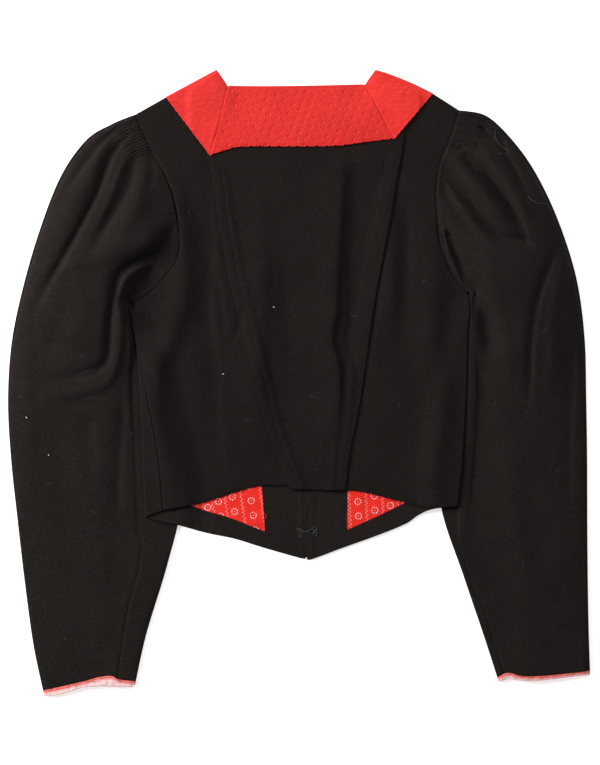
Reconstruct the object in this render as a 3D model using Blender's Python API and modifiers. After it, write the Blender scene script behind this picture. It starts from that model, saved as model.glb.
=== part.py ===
"""Bolero jacket of black wool with a red yoke, laid flat with its back up.

+X is to the right and +Y up the back as it lies, +Z is up. The origin is at the middle of the jacket's outline, on the
surface it lies on. Sizes are in millimetres until a mesh is made.

The jacket is made as layers: the fronts on the surface, the facings and the lining on them, the back over those, the
yoke on the back, and each sleeve as one flattened tube. A sleeve's inner part lies under the side of the body.
"""

import math

import bmesh
import bpy
import numpy as np
from mathutils import Vector

MM = 0.001

# Cloth and the space between layers
WOOL = 1.4
PLAIN_YOKE = 1.6
QUILTED_YOKE = 1.5
FACING = 1.0
LINING = 0.7
CUFF_EDGE = 1.2
SEAM = 0.3
SLACK = 2.2          # between the fronts and the back
SLEEVE_SLACK = 1.2   # between the two layers of a pressed sleeve
BODY_HEIGHT = WOOL + SLACK + WOOL
SLEEVE_HEIGHT = WOOL + SLEEVE_SLACK + WOOL
LIFT = SLEEVE_HEIGHT + 0.5
LIFT_RAMP = 26.0
LIFT_START = {"left": 88.0, "right": 98.0}    # y at the armholes' lower ends, where the lift starts
LIFT_RUN = 10.0
SLEEVE_CLEAR = 185.0  # how far below the origin the sleeves' inner folds come out from under the hem
SLEEVE_CLEAR_RUN = 24.0
FOLD_MARGIN = 14.0   # from a sleeve's ends of the shown width, over which its folds fade
FULL_FOLDS = 6.0     # a section with this fullness has its folds at their full height
COVER_MARGIN = 8.0
FAN = 0.42           # how fast a sleeve's sections straighten near its inner fold, for each station
LAP_WIDTH = 13.0
LAP_FADE = 9.0
LAP_RISE = WOOL + SEAM
TUCK = 9.0           # how far the side panels go under the middle one
TUCK_RUN = 45.0
FLAP_SHARE = 0.36    # the most of the middle panel's width that one lap takes
ARM_END_TURN = 0.18   # how far the side's fold has turned at the armhole's lower end
SEAM_TURN = 25.0     # degrees over the middle of a fold where each half of a seam on it ends
YOKE_BASE = BODY_HEIGHT + SEAM
NECK_SAG = 3.6
NECK_SAG_TOP = 280.0     # y where the sag starts
NECK_SAG_RUN = 44.0
NECK_HALF_WIDTH = 92.0
NECK_FADE = 30.0         # over which the sag ends at the yoke's sides
YOKE_FADE = 16.0         # over which the yoke's ends come down to their folds
YOKE_UNDER_LENGTH = 60.0  # of each yoke end's part under the shoulder's fold
UNDER_YOKE = 232.0       # y where the middle panel starts to rise towards the yoke
UNDER_YOKE_RUN = 16.0

# Smocking at each sleeve head
PLEATS = 13
PLEAT_RISE = 0.9
PLEATED_SHARE = 0.186   # of the armhole's length, from the shoulder

# Quilted lattice of the yoke
LATTICE_STEP = 10.4
LATTICE_ROW = 9.8
LATTICE_SLANT = -3.9
LATTICE_RISE = 0.9
LATTICE_MARGIN = 14.0    # below the yoke's lower edge, where the lattice starts to rise
LATTICE_FADE = 10.0

# Hook and eye
WIRE = 0.9
HOOK_Y = -164.0
CENTRE_FRONT = 8.2

# Lines of the body, from the top down
LEFT_ARMHOLE = ((-180, 295), (-162, 254), (-147, 229), (-135, 196), (-130.5, 157), (-133, 137), (-147, 117),
                (-167, 97), (-184, 88))
RIGHT_ARMHOLE = ((176, 299.5), (167, 271), (156, 247), (150.5, 219), (150.5, 186), (154, 155), (161, 134),
                 (172, 113), (185, 99))
LEFT_FOLD = ((-184, 88), (-185.2, 79), (-184.8, 68), (-181, 52), (-178, 36), (-175, -8), (-172.5, -60),
             (-169.5, -147))
RIGHT_FOLD = ((185, 99), (187.8, 91), (188.4, 78), (187, 62), (186, 47), (184, -19), (180, -85), (175, -134.5))
LEFT_SIDE_SEAM = ((-180.5, 87), (-174.5, 43), (-167.5, -8), (-158, -55), (-153, -90), (-148.5, -139))
LEFT_LAP = ((-104, 262), (-93.5, 220), (-90, 189), (-82.5, 146), (-71.5, 93), (-48, 3), (-34, -52), (-10, -116))
RIGHT_LAP = ((117, 287), (112, 250), (106.5, 221), (101, 185), (95.5, 158), (82.5, 88), (67, -19), (56, -74),
             (50.5, -117.5))
LEFT_SHOULDER = ((-180, 295), (-146.8, 313.8))
RIGHT_SHOULDER = ((176, 299.5), (148.1, 317.4))
BACK_TOP = ((-104, 262), (-60, 271), (60, 272), (100, 279), (117, 287))
SIDE_HEM_LEFT = ((-148.5, -139), (-113, -133), (-95, -128), (-63, -118), (-41, -114.5), (-10, -116))
CENTRE_HEM = ((-10, -116), (11, -116.5), (50.5, -117.5))
SIDE_HEM_RIGHT = ((50.5, -117.5), (74, -120), (106, -128), (131, -134), (147, -136.5), (175, -134.5))

# Stations down a side, shared by all that meet there: shares of the armhole's length, then of the side below it
ARM_STATIONS = (0, 0.09, 0.186, 0.28, 0.371, 0.45, 0.53, 0.61, 0.69, 0.77, 0.85, 0.911, 1.0)
SIDE_STATIONS = (0.05, 0.2, 0.38, 0.55, 0.70, 0.87, 1.0)
ARM_PART = 0.52      # of a back seam's length, level with the armhole's end
SIDE_PARTS = (0.56, 0.63, 0.70, 0.78, 0.85, 0.925, 1.0)   # of a back seam's length, level with those stations

# The fronts, which lie under the back
LEFT_FRONT_EDGE = ((-146.8, 313.8), (-142.2, 256), None, (-84.5, 253), None, (CENTRE_FRONT - 0.15, 112), None,
                   (CENTRE_FRONT - 0.15, -191))
RIGHT_FRONT_EDGE = ((148.1, 317.4), (143, 256), None, (78.5, 253), None, (CENTRE_FRONT + 0.15, 112), None,
                    (CENTRE_FRONT + 0.15, -191))
LEFT_FRONT_HEM = ((-169.5, -147), (-150, -152.5), (-131, -156), (-103, -164), (-71.5, -170.5), (-44, -179),
                  (-16.5, -187), (4, -192.5), (CENTRE_FRONT - 0.15, -191))
RIGHT_FRONT_HEM = ((175, -134.5), (147, -138), (131, -145), (118, -154), (89, -166), (46, -181.5), (13, -193.5),
                   (CENTRE_FRONT + 0.15, -191))
FRONT_FACING = 46.0
FACING_SHARE = 0.4       # of that width, or of a narrower row's, at the rows above the facing
FRONT_ARM_END = 275.0    # along the front's edge from its lower end, level with the armhole's end
LEFT_FACING_EDGE = ((-42.5, -40), (-41.5, -90), (-40.4, -120), (-37.4, -163), (-36.2, -190))
RIGHT_FACING_EDGE = ((54.2, -40), (53.6, -90), (53.4, -120), (53.2, -162), (53.0, -190))
FRONT_ROWS = (266, 230, 180, 130, 88, 13, 0)   # along the centre front, over its lower end

# Red yoke: corners A at the shoulder's outer end, B at the neck, C at the mitre's top, D at its lower end
YOKE_LEFT = {"A": (-146.3, 314.6), "B": (-91.3, 344.0), "C": (-78.1, 325.0), "D": (-97.6, 250.0),
             "front_outer": (-141.8, 256.5), "front_inner": (-84.2, 253.4)}
YOKE_RIGHT = {"A": (147.4, 318.2), "B": (84.7, 344.0), "C": (72.6, 327.2), "D": (104.9, 268.2),
              "front_outer": (142.6, 256.5), "front_inner": (78.2, 253.4)}
RIGHT_YOKE_FOLD = ((147.4, 318.2), (127.6, 328), (101, 339), (84.7, 344.0))
YOKE_LOWER_EDGE = ((-97.3, 250.0), (-80, 255.5), (-65, 259), (-30, 259.6), (9, 259.6), (46, 260.7), (78, 265),
                   (104.6, 268.2))
NECKLINE = ((-77.8, 325.0), (-71.5, 327.3), (-30, 325.6), (16.5, 326.2), (64, 327.4), (72.3, 327.2))

# Sleeves: a row for each section, from the armhole to the cuff. outer and inner are the ends of the section on the
# sleeve's two folds, bulge is how much of the armhole's curve it keeps, height is that of its folded edges, and
# fullness is how far its middle stands over them.
SLEEVE_COLUMNS = ("outer_x", "outer_y", "inner_x", "inner_y", "bulge", "height", "fullness")
LEFT_SLEEVE = (
    (-180.3, 295.0, -184.4, 88.4, 1.00, BODY_HEIGHT, 0.0),
    (-206.0, 284.5, -188.5, 88.5, 0.95, BODY_HEIGHT, 6.5),
    (-234.0, 267.0, -190.5, 84.5, 0.86, BODY_HEIGHT, 14.0),
    (-262.0, 227.0, -189.5, 76.0, 0.66, 4.7, 19.0),
    (-285.5, 167.0, -185.5, 63.0, 0.40, 4.3, 20.0),
    (-303.5, 105.0, -177.5, 45.0, 0.20, SLEEVE_HEIGHT, 18.0),
    (-316.0, 44.0, -165.0, 18.0, 0.10, SLEEVE_HEIGHT, 15.0),
    (-320.0, -20.0, -151.0, -16.0, 0.00, SLEEVE_HEIGHT, 12.0),
    (-316.5, -85.0, -138.0, -72.0, 0.00, SLEEVE_HEIGHT, 10.0),
    (-309.5, -150.0, -130.5, -135.0, 0.00, SLEEVE_HEIGHT, 8.0),
    (-302.0, -215.0, -144.5, -199.0, 0.00, SLEEVE_HEIGHT, 6.5),
    (-292.5, -285.0, -167.5, -275.0, 0.00, SLEEVE_HEIGHT, 4.5),
    (-281.6, -337.7, -179.3, -327.8, 0.00, SLEEVE_HEIGHT, 2.5),
)
RIGHT_SLEEVE = (
    (176.3, 299.6, 185.4, 99.4, 1.00, BODY_HEIGHT, 0.0),
    (207.0, 293.0, 189.4, 98.5, 0.95, BODY_HEIGHT, 6.5),
    (239.0, 261.6, 191.5, 93.0, 0.84, BODY_HEIGHT, 14.0),
    (264.5, 223.0, 191.0, 84.0, 0.65, 4.7, 19.0),
    (287.5, 172.0, 189.0, 70.0, 0.40, 4.3, 20.0),
    (305.5, 113.0, 184.0, 48.0, 0.20, SLEEVE_HEIGHT, 18.0),
    (314.0, 50.0, 174.5, 16.0, 0.10, SLEEVE_HEIGHT, 15.0),
    (315.8, -15.0, 163.5, -20.0, 0.00, SLEEVE_HEIGHT, 12.0),
    (316.8, -82.0, 154.5, -74.0, 0.00, SLEEVE_HEIGHT, 10.0),
    (317.0, -150.0, 156.5, -138.0, 0.00, SLEEVE_HEIGHT, 8.0),
    (317.5, -213.0, 180.8, -212.0, 0.00, SLEEVE_HEIGHT, 6.5),
    (318.5, -270.0, 202.5, -276.0, 0.00, SLEEVE_HEIGHT, 4.5),
    (320.0, -315.7, 217.8, -323.4, 0.00, SLEEVE_HEIGHT, 2.5),
)
LEFT_CUFF = ((-281.6, -337.7), (-266, -334.4), (-251, -331), (-233, -326.7), (-222, -323.4), (-206, -321.5),
             (-198, -325.4), (-179.3, -327.8))
RIGHT_CUFF = ((320.0, -315.7), (294, -319), (273, -321.2), (251, -322.2), (242, -321.2), (229, -318.2),
              (217.8, -323.4))
LEFT_CUFF_RED = ((-280.5, -344.2), (-266, -343.0), (-251, -338.8), (-236.5, -334.5), (-217, -333.2),
                 (-206, -333.6), (-185, -334.0), (-179.6, -331.2))
RIGHT_CUFF_RED = ((319.8, -320.6), (294, -323.4), (279, -325.4), (258.5, -327.6), (245, -327.0), (230, -325.4),
                  (219.4, -328.6))

# Main folds: path in mm, half width, height (below nought for a trough)
SLEEVE_FOLDS_LEFT = (
    (((-195, 267), (-207, 262), (-216, 231), (-250, 163), (-284, 99)), 9.0, -5.0),
    (((-189, 251), (-202, 235), (-218, 195), (-233, 150)), 8.0, -4.0),
    (((-212, 272), (-228, 254), (-261, 218)), 6.0, -2.5),
    (((-142, 181), (-165, 143), (-192, 122), (-201, 104), (-208, 50), (-210, 36)), 10.0, -5.5),
    (((-188, 108), (-191, 69), (-187, 3)), 7.0, 2.5),
    (((-170, 190), (-205, 146), (-232, 91)), 14.0, 3.0),
    (((-206, 0), (-235, -10), (-261, -14)), 10.0, -2.5),
)
SLEEVE_FOLDS_RIGHT = (
    (((190, 272), (206, 262), (213, 253), (206, 220), (222, 181)), 8.0, -4.0),
    (((190, 261), (199, 244), (205, 234)), 6.0, 2.5),
    (((158, 232), (172, 218), (188, 185), (206, 163), (229, 152), (246, 163)), 9.0, -5.0),
    (((284, 156), (267, 118), (252, 77), (246, 3)), 11.0, -3.5),
    (((184, 133), (190, 71), (206, 37)), 9.0, -3.5),
    (((160, 163), (164, 150), (169, 135)), 7.0, -3.0),
)
BODY_FOLDS = (
    (((-100, 212), (-99, 184), (-91, 142), (-88, 107)), 8.0, -1.1),
    (((51, 240), (56, 222), (53, 169), (50, 93), (48, 14)), 7.0, -1.1),
    (((-85, 91), (-112, 73), (-120, 3), (-130, -32), (-106, -114)), 12.0, -1.0),
    (((112, 184), (118, 100)), 12.0, -1.0),
    (((-25, 230), (-18, 100), (2, -40)), 30.0, 1.4),
    (((-128, 90), (-145, 20), (-140, -80)), 14.0, 1.2),
    (((140, 60), (135, -20), (125, -100)), 18.0, 1.3),
)

# Colours from the photograph, linear
WOOL_BLACK = (0.0168, 0.0137, 0.0116)
YOKE_RED = (0.900, 0.050, 0.046)
LINING_RED = (0.720, 0.040, 0.032)
EDGE_RED = (0.880, 0.110, 0.110)
WIRE_BLACK = (0.030, 0.029, 0.028)


def smooth_line(points, steps=12):
    """A smooth line through the points. A None among them marks the point before it as a sharp corner."""
    pieces = [[]]
    for point in points:
        if point is None:
            pieces.append([pieces[-1][-1]])
        else:
            pieces[-1].append(point)
    line = []
    for piece in pieces:
        p = np.array(piece, float)
        p = np.vstack([2 * p[0] - p[1], p, 2 * p[-1] - p[-2]])
        t = np.linspace(0, 1, steps, endpoint=False)[:, None]
        for a, b, c, d in zip(p[:-3], p[1:-2], p[2:-1], p[3:]):
            line.append(b + 0.5 * t * (c - a + t * (2 * a - 5 * b + 4 * c - d + t * (3 * (b - c) + d - a))))
        line.append(p[-2:-1])
    return np.vstack(line)


def at(line, share):
    """Points at shares of the line's length, as an array whose last axis is x, y."""
    step = np.hypot(*np.diff(line, axis=0).T)
    place = np.concatenate([[0], np.cumsum(step)])
    place /= place[-1]
    share = np.asarray(share, float)
    return np.stack([np.interp(share, place, line[:, 0]), np.interp(share, place, line[:, 1])], axis=-1)


def x_at(line, y):
    """The line's x at each y, for a line that runs down."""
    order = np.argsort(line[:, 1])
    return np.interp(y, line[order, 1], line[order, 0])


def moved_sideways(line, distance):
    """The line moved to its left, as it runs, by the distance."""
    way = np.gradient(line, axis=0)
    way /= np.hypot(way[:, 0], way[:, 1])[:, None]
    return line + distance * np.stack([-way[:, 1], way[:, 0]], axis=1)


def ease(t):
    t = np.clip(t, 0, 1)
    return t * t * (3 - 2 * t)


def folds(x, y, table):
    """Height that the folds of a table add at each x, y."""
    height = np.zeros(np.broadcast(x, y).shape)
    for path, width, rise in table:
        line = smooth_line(path, 5)
        best = np.full(height.shape, 1e9)
        along = np.zeros(height.shape)
        total = len(line) - 1
        for k in range(total):
            a, b = line[k], line[k + 1]
            way = b - a
            t = np.clip(((x - a[0]) * way[0] + (y - a[1]) * way[1]) / way.dot(way), 0, 1)
            gap = np.hypot(x - a[0] - t * way[0], y - a[1] - t * way[1])
            near = gap < best
            best = np.where(near, gap, best)
            along = np.where(near, (k + t) / total, along)
        ends = ease(along / 0.2) * ease((1 - along) / 0.3)
        height += rise * np.exp(-((best / width) ** 2)) * (0.35 + 0.65 * ends)
    return height


LINES = {name: smooth_line(points) for name, points in {
    "left_armhole": LEFT_ARMHOLE, "right_armhole": RIGHT_ARMHOLE, "left_fold": LEFT_FOLD,
    "right_fold": RIGHT_FOLD, "left_side_seam": LEFT_SIDE_SEAM, "left_lap": LEFT_LAP, "right_lap": RIGHT_LAP,
    "left_sleeve_inside": [row[2:4] for row in LEFT_SLEEVE],
    "right_sleeve_inside": [row[2:4] for row in RIGHT_SLEEVE],
}.items()}


def lift(x, y):
    """How far the sleeves that lie under its sides hold the body up."""
    left = ease((x_at(LINES["left_sleeve_inside"], y) + 2 + LIFT_RAMP - x) / LIFT_RAMP)
    right = ease((x - x_at(LINES["right_sleeve_inside"], y) + 2 + LIFT_RAMP) / LIFT_RAMP)
    left *= ease((LIFT_START["left"] - y) / LIFT_RUN)
    right *= ease((LIFT_START["right"] - y) / LIFT_RUN)
    return LIFT * np.where(x < 0, left, right)


def lap(x, y, beyond=False):
    """How far the middle panel is raised, from 0 to 1: where its edges lap over the side panels, and under the yoke.
    With beyond, the same for the yoke, which comes down again outside those edges."""
    left = x - x_at(LINES["left_lap"], y)
    right = x_at(LINES["right_lap"], y) - x
    nearest = np.minimum(left, right)
    inside = np.maximum(ease((LAP_WIDTH + LAP_FADE - nearest) / LAP_FADE), ease((y - UNDER_YOKE) / UNDER_YOKE_RUN))
    if beyond:
        return np.where(nearest < 0, ease((LAP_WIDTH + LAP_FADE + nearest) / LAP_FADE), inside)
    return inside


def back_top(x, y):
    """Height of the back's outer face, without the laps."""
    return lift(x, y) + BODY_HEIGHT + folds(x, y, BODY_FOLDS)


def yoke_top(x, y):
    """Height of the yoke's outer face: on the back at its lower edge, sagging to the surface at the neck."""
    middle = ease((NECK_HALF_WIDTH - abs(x)) / NECK_FADE)
    sag = NECK_SAG * ease((y - NECK_SAG_TOP) / NECK_SAG_RUN) * middle
    return back_top(x, y) + SEAM + LAP_RISE * lap(x, y, beyond=True) + QUILTED_YOKE - sag


def across(width, near_first, inner, near_last):
    """Shares of a width: at distances from its first end, evenly between, and at distances from its last end."""
    first = [d / width for d in near_first]
    last = [1 - d / width for d in near_last]
    return first + list(np.linspace(first[-1], last[0], inner + 2)[1:-1]) + last


def patch(left, right, top, bottom, u, v):
    """Points inside four lines: u runs from left to right and v from top to bottom."""
    u, v = np.asarray(u)[..., None], np.asarray(v)[..., None]
    a, b = at(left, v[..., 0]), at(right, v[..., 0])
    c, d = at(top, u[..., 0]), at(bottom, u[..., 0])
    corners = ((1 - u) * (1 - v) * at(top, 0) + u * (1 - v) * at(top, 1)
               + (1 - u) * v * at(bottom, 0) + u * v * at(bottom, 1))
    return (1 - u) * a + u * b + (1 - v) * c + v * d - corners


def turned(distance, height):
    """How far a face has turned down at a distance from a folded edge of this height."""
    radius = height / 2
    reach = np.clip(1 - distance / radius, 0, 1)
    return radius - radius * np.sqrt(1 - reach ** 2)


def turn_places(height, angles=(SEAM_TURN, 45, 67, 90)):
    """Distances from a folded edge of the points that its round turn needs."""
    return [height / 2 * (1 - math.cos(math.radians(angle))) for angle in angles]


def material(name, colour, roughness, metallic=0.0):
    found = bpy.data.materials.get(name)
    if found:
        return found
    made = bpy.data.materials.new(name)
    made.use_nodes = True
    shader = made.node_tree.nodes["Principled BSDF"]
    shader.inputs["Base Color"].default_value = (*colour, 1.0)
    shader.inputs["Roughness"].default_value = roughness
    shader.inputs["Metallic"].default_value = metallic
    made.diffuse_color = (*colour, 1.0)
    return made


def stitch(mesh, first, second, in_threes=False):
    """Faces between two rows of (share, vertex), which may have unlike counts. in_threes splits each face the same
    way, so that two walls with the same points stay apart."""
    if len(first) == len(second):
        for (_, a), (_, b), (_, c), (_, d) in zip(first, first[1:], second[1:], second):
            if in_threes:
                mesh.faces.new((a, b, c))
                mesh.faces.new((a, c, d))
            else:
                mesh.faces.new((a, b, c, d))
        return
    i, j = 0, 0
    while i < len(first) - 1 or j < len(second) - 1:
        more_first = i < len(first) - 1
        more_second = j < len(second) - 1
        if more_first and (not more_second or first[i + 1][0] <= second[j + 1][0] + 1e-9):
            mesh.faces.new((first[i][1], first[i + 1][1], second[j][1]))
            i += 1
        else:
            mesh.faces.new((first[i][1], second[j + 1][1], second[j][1]))
            j += 1


def add_row(mesh, shares, points):
    return [(share, mesh.verts.new(Vector(point) * MM)) for share, point in zip(shares, points)]


def finish(mesh, name, finish_material, parts):
    data = bpy.data.meshes.new(name)
    mesh.to_mesh(data)
    mesh.free()
    data.materials.append(finish_material)
    data.shade_smooth()
    data.set_sharp_from_angle(angle=math.radians(40))
    made = bpy.data.objects.new(name, data)
    parts.objects.link(made)
    return made


def sheet(name, rows, thickness, finish_material, parts, faces_up=True, more_rows=None):
    """A cloth wall from a grid of points on its outer face. more_rows is a second grid that starts with points of the
    first column of some rows: a dict from row number to points."""
    mesh = bmesh.new()
    made = [add_row(mesh, range(len(row)), row) for row in rows]
    for first, second in zip(made, made[1:]):
        stitch(mesh, first, second)
    if more_rows:
        numbers = sorted(more_rows)
        extra = [[made[k][0]] + add_row(mesh, range(1, 99), more_rows[k]) for k in numbers]
        for first, second in zip(extra, extra[1:]):
            stitch(mesh, second, first)
    mesh.normal_update()
    mesh.faces.ensure_lookup_table()
    if (mesh.faces[0].normal.z > 0) != faces_up:
        bmesh.ops.reverse_faces(mesh, faces=mesh.faces[:])
    cloth = finish(mesh, name, finish_material, parts)
    wall = cloth.modifiers.new("Cloth wall", "SOLIDIFY")
    wall.thickness = thickness * MM
    wall.offset = -1.0
    return cloth


def raised(grid, height):
    """x, y points with their heights."""
    return np.concatenate([grid, np.asarray(height)[..., None]], axis=-1)


def side_points(armhole, side):
    """Points down the armhole and then down the side below it, at the stations."""
    return np.vstack([at(armhole, ARM_STATIONS), at(side, SIDE_STATIONS)])


def inner_points(line, corners, arm_part, side_shares):
    """Points down a panel's other side, one for each station. corners maps a number of an armhole station to the
    share of the line that belongs to it, arm_part is the share at the armhole's end, and side_shares follow it."""
    numbers = [0, *corners, len(ARM_STATIONS) - 1]
    shares = [0.0, *corners.values(), arm_part]
    known = np.array([ARM_STATIONS[k] for k in numbers])
    upper = np.interp(ARM_STATIONS, known, shares)
    return at(line, np.concatenate([upper, side_shares]))


def row_points(a, b, shares, bottom, weight):
    """x, y points from a to b at shares of the way, with a part of the hem line's own shape."""
    u = np.asarray(shares)[:, None]
    wave = at(bottom, u[:, 0]) - (1 - u) * at(bottom, 0) - u * at(bottom, 1)
    return (1 - u) * a + u * b + weight * wave


def panel(outer, inner, bottom, columns, top_turn=None):
    """A grid of x, y points in rows from the outer points to the inner ones. bottom is the hem line, which the last
    rows follow, and columns gives the shares of a row from its width and its number. top_turn adds rows just below
    the first one, at the given distances, for a folded edge."""
    grid = []
    last = len(outer) - 1
    for k, (a, b) in enumerate(zip(outer, inner)):
        grid.append(row_points(a, b, columns(np.hypot(*(b - a)), k), bottom, ease((k - last + 6) / 6)))
    if top_turn:
        way = grid[1] - grid[0]
        length = np.hypot(way[:, 0], way[:, 1])[:, None]
        grid[:1] = [grid[0] + way / length * distance for distance in top_turn]
    return np.array(grid)


def build_back(parts, wool):
    """The back's middle panel, which laps over the side panels."""
    left = moved_sideways(LINES["left_lap"], SEAM / 2)
    right = moved_sideways(LINES["right_lap"], -SEAM / 2)
    top, bottom = smooth_line(BACK_TOP), smooth_line(CENTRE_HEM)
    grid = []
    for v in np.linspace(0, 1, 16):
        width = np.hypot(*(at(right, v) - at(left, v)))
        flap = min(LAP_WIDTH + LAP_FADE, width * FLAP_SHARE)
        near = (0, 5.5, LAP_WIDTH, flap)
        u = np.array(across(width, near, 4, near[::-1]))
        grid.append(patch(left, right, top, bottom, u, np.full(len(u), v)))
    grid = np.array(grid)
    x, y = grid[..., 0], grid[..., 1]
    sheet("back_centre", raised(grid, back_top(x, y) + LAP_RISE * lap(x, y)), WOOL, wool, parts)


def tucked(line, start, distance, run):
    """The line moved sideways by a distance that grows from its start over the run."""
    places = np.linspace(0, 1, 90)
    base = at(line, places)
    length = np.hypot(*np.diff(base, axis=0).T).sum()
    way = np.gradient(base, axis=0)
    way /= np.hypot(way[:, 0], way[:, 1])[:, None]
    out = start + (distance - start) * ease(places * length / run)
    return base + out[:, None] * np.stack([-way[:, 1], way[:, 0]], axis=1)


def build_sides(parts, wool):
    """The back's side panels. Each slides under the yoke and under the middle panel."""
    edge = turn_places(BODY_HEIGHT)

    outer = side_points(LINES["left_armhole"], LINES["left_side_seam"])
    outer[len(ARM_STATIONS) - 1] = at(LINES["left_armhole"], 0.985)
    under = smooth_line((LEFT_SHOULDER[1], (-104, 258), None, *LEFT_LAP[1:]))
    inner = inner_points(tucked(under, 0.0, TUCK, TUCK_RUN), {}, ARM_PART, SIDE_PARTS)
    bottom = smooth_line((*SIDE_HEM_LEFT[:-1], (-6, -116)))
    grid = panel(outer, inner, bottom, lambda width, k: list(np.linspace(SEAM / 2 / width, 1, 9)), edge)
    x, y = grid[..., 0], grid[..., 1]
    drop = turned(shoulder_gap(x, y, LEFT_SHOULDER), BODY_HEIGHT)
    sheet("back_side_left", raised(grid, back_top(x, y) - drop), WOOL, wool, parts)

    outer = side_points(LINES["right_armhole"], LINES["right_fold"])
    under = smooth_line((RIGHT_SHOULDER[1], (119, 284), None, (112.5, 250), *RIGHT_LAP[2:]))
    inner = inner_points(tucked(under, 0.0, -TUCK, TUCK_RUN), {}, ARM_PART, SIDE_PARTS)
    bottom = smooth_line(((46.5, -117.5), *SIDE_HEM_RIGHT[1:]))[::-1]
    grid = panel(outer, inner, bottom, lambda width, k: across(width, edge, 6, (0,)), edge)
    x, y = grid[..., 0], grid[..., 1]
    drop = turned(shoulder_gap(x, y, RIGHT_SHOULDER), BODY_HEIGHT)
    side_drop = turned(x_at(LINES["right_fold"], y) - x, BODY_HEIGHT)
    drop = np.maximum(drop, below_armhole(grid) * side_drop)
    sheet("back_side_right", raised(grid, back_top(x, y) - drop), WOOL, wool, parts)


def below_armhole(grid):
    """1 for the rows below the armhole's end, a part of it for the row there and 0 for those above it."""
    first = len(grid) - len(SIDE_STATIONS)
    return np.clip((np.arange(len(grid))[:, None] - first) * (1 - ARM_END_TURN) + 1, 0, 1)


def shoulder_gap(x, y, shoulder):
    """Distance below a straight shoulder fold."""
    (ax, ay), (bx, by) = shoulder
    length = math.hypot(bx - ax, by - ay)
    return abs((bx - ax) * (y - ay) - (by - ay) * (x - ax)) / length


def build_fronts(parts, wool, facing, lining):
    """The fronts, face down on the surface, with the facings and the lining on their inner faces."""
    edge = turn_places(BODY_HEIGHT)
    fronts = (("left", LEFT_SHOULDER, LEFT_FRONT_EDGE, LEFT_FRONT_HEM, LEFT_FACING_EDGE),
              ("right", RIGHT_SHOULDER, RIGHT_FRONT_EDGE, RIGHT_FRONT_HEM, RIGHT_FACING_EDGE))
    for side, shoulder, front_edge, hem, facing_edge in fronts:
        outer = side_points(LINES[f"{side}_armhole"], LINES[f"{side}_fold"])
        line = smooth_line(front_edge)
        length = line_length(line)
        corner_shares = [share_at(line, front_edge[k]) for k in (1, 3, 5)]
        to_hem = 1 - np.array(FRONT_ROWS) / length
        inner = inner_points(line, dict(zip((2, 4, 11), corner_shares)), 1 - FRONT_ARM_END / length, to_hem)
        bottom = smooth_line(hem)

        fold_places = turn_places(BODY_HEIGHT, (0, 32, 60, 90)) if side == "left" else edge

        facing_shares = [facing_share(outer[k], inner[k], k, bottom, facing_edge) for k in range(len(outer))]

        def columns(width, k):
            facing_width = min(FRONT_FACING, width) * FACING_SHARE
            if k >= len(ARM_STATIONS):
                facing_width = width * (1 - facing_shares[k])
            return across(width, fold_places, 6, (facing_width, 0.0))

        grid = panel(outer, inner, bottom, columns, edge)
        x, y = grid[..., 0], grid[..., 1]
        up = turned(shoulder_gap(x, y, shoulder), BODY_HEIGHT)
        fold_gap = abs(x - x_at(LINES[f"{side}_fold"], y))
        up = np.maximum(up, below_armhole(grid) * turned(fold_gap, BODY_HEIGHT))
        base = lift(x, y)
        over = wrapped_edge(x, y) if side == "left" else None
        sheet(f"front_{side}", raised(grid, base + up), WOOL, wool, parts, faces_up=False, more_rows=over)
        build_inside(side, grid, base, parts, facing, lining)


def facing_share(a, b, k, bottom, facing_edge):
    """The share across a front's row at which its facing starts."""
    shares = np.linspace(0, 1, 121)
    points = row_points(a, b, shares, bottom, ease((k - len(ARM_STATIONS) - len(SIDE_STATIONS) + 7) / 6))
    past_edge = points[:, 0] - x_at(smooth_line(facing_edge), points[:, 1])
    return np.interp(0, past_edge * np.sign(b[0] - a[0]), shares)


def wrapped_edge(x, y):
    """The strip of the left front that comes round the side's fold to the side seam: points for each row."""
    over = {}
    first = len(x) - len(SIDE_STATIONS)
    for k, share in enumerate(SIDE_STATIONS, first):
        seam_x, seam_y = at(LINES["left_side_seam"], share)
        width = seam_x - SEAM - x[k, 0]
        places = [*turn_places(BODY_HEIGHT, (32, 60, 90)), width]
        if width < places[2] + 0.4:
            places = [width * part for part in (0.1, 0.4, 0.8, 1.0)]
        places = np.array(places)
        px = x[k, 0] + places
        py = y[k, 0] + (seam_y - y[k, 0]) * places / width
        over[k] = np.stack([px, py, back_top(px, py) - turned(places, BODY_HEIGHT)], axis=1)
    return over


def line_length(line):
    return np.hypot(*np.diff(line, axis=0).T).sum()


def share_at(line, point):
    """The share of a line's length at the sample nearest to a point."""
    step = np.concatenate([[0], np.cumsum(np.hypot(*np.diff(line, axis=0).T))])
    return step[np.argmin(np.hypot(*(line - np.array(point)).T))] / step[-1]


def inset_rows(points, first_row, last_row, first_column, last_column):
    """A piece of a grid, its border moved in by half the seam's gap towards the next points."""
    piece = points[first_row:last_row + 1, first_column:last_column + 1].copy()
    for axis in (0, 1):
        piece = np.swapaxes(piece, 0, axis)
        for end, nxt in ((0, 1), (-1, -2)):
            way = piece[nxt] - piece[end]
            length = np.hypot(way[:, 0], way[:, 1])[:, None]
            piece[end] = piece[end] + way / length * (SEAM * 0.6)
        piece = np.swapaxes(piece, 0, axis)
    return piece


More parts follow.
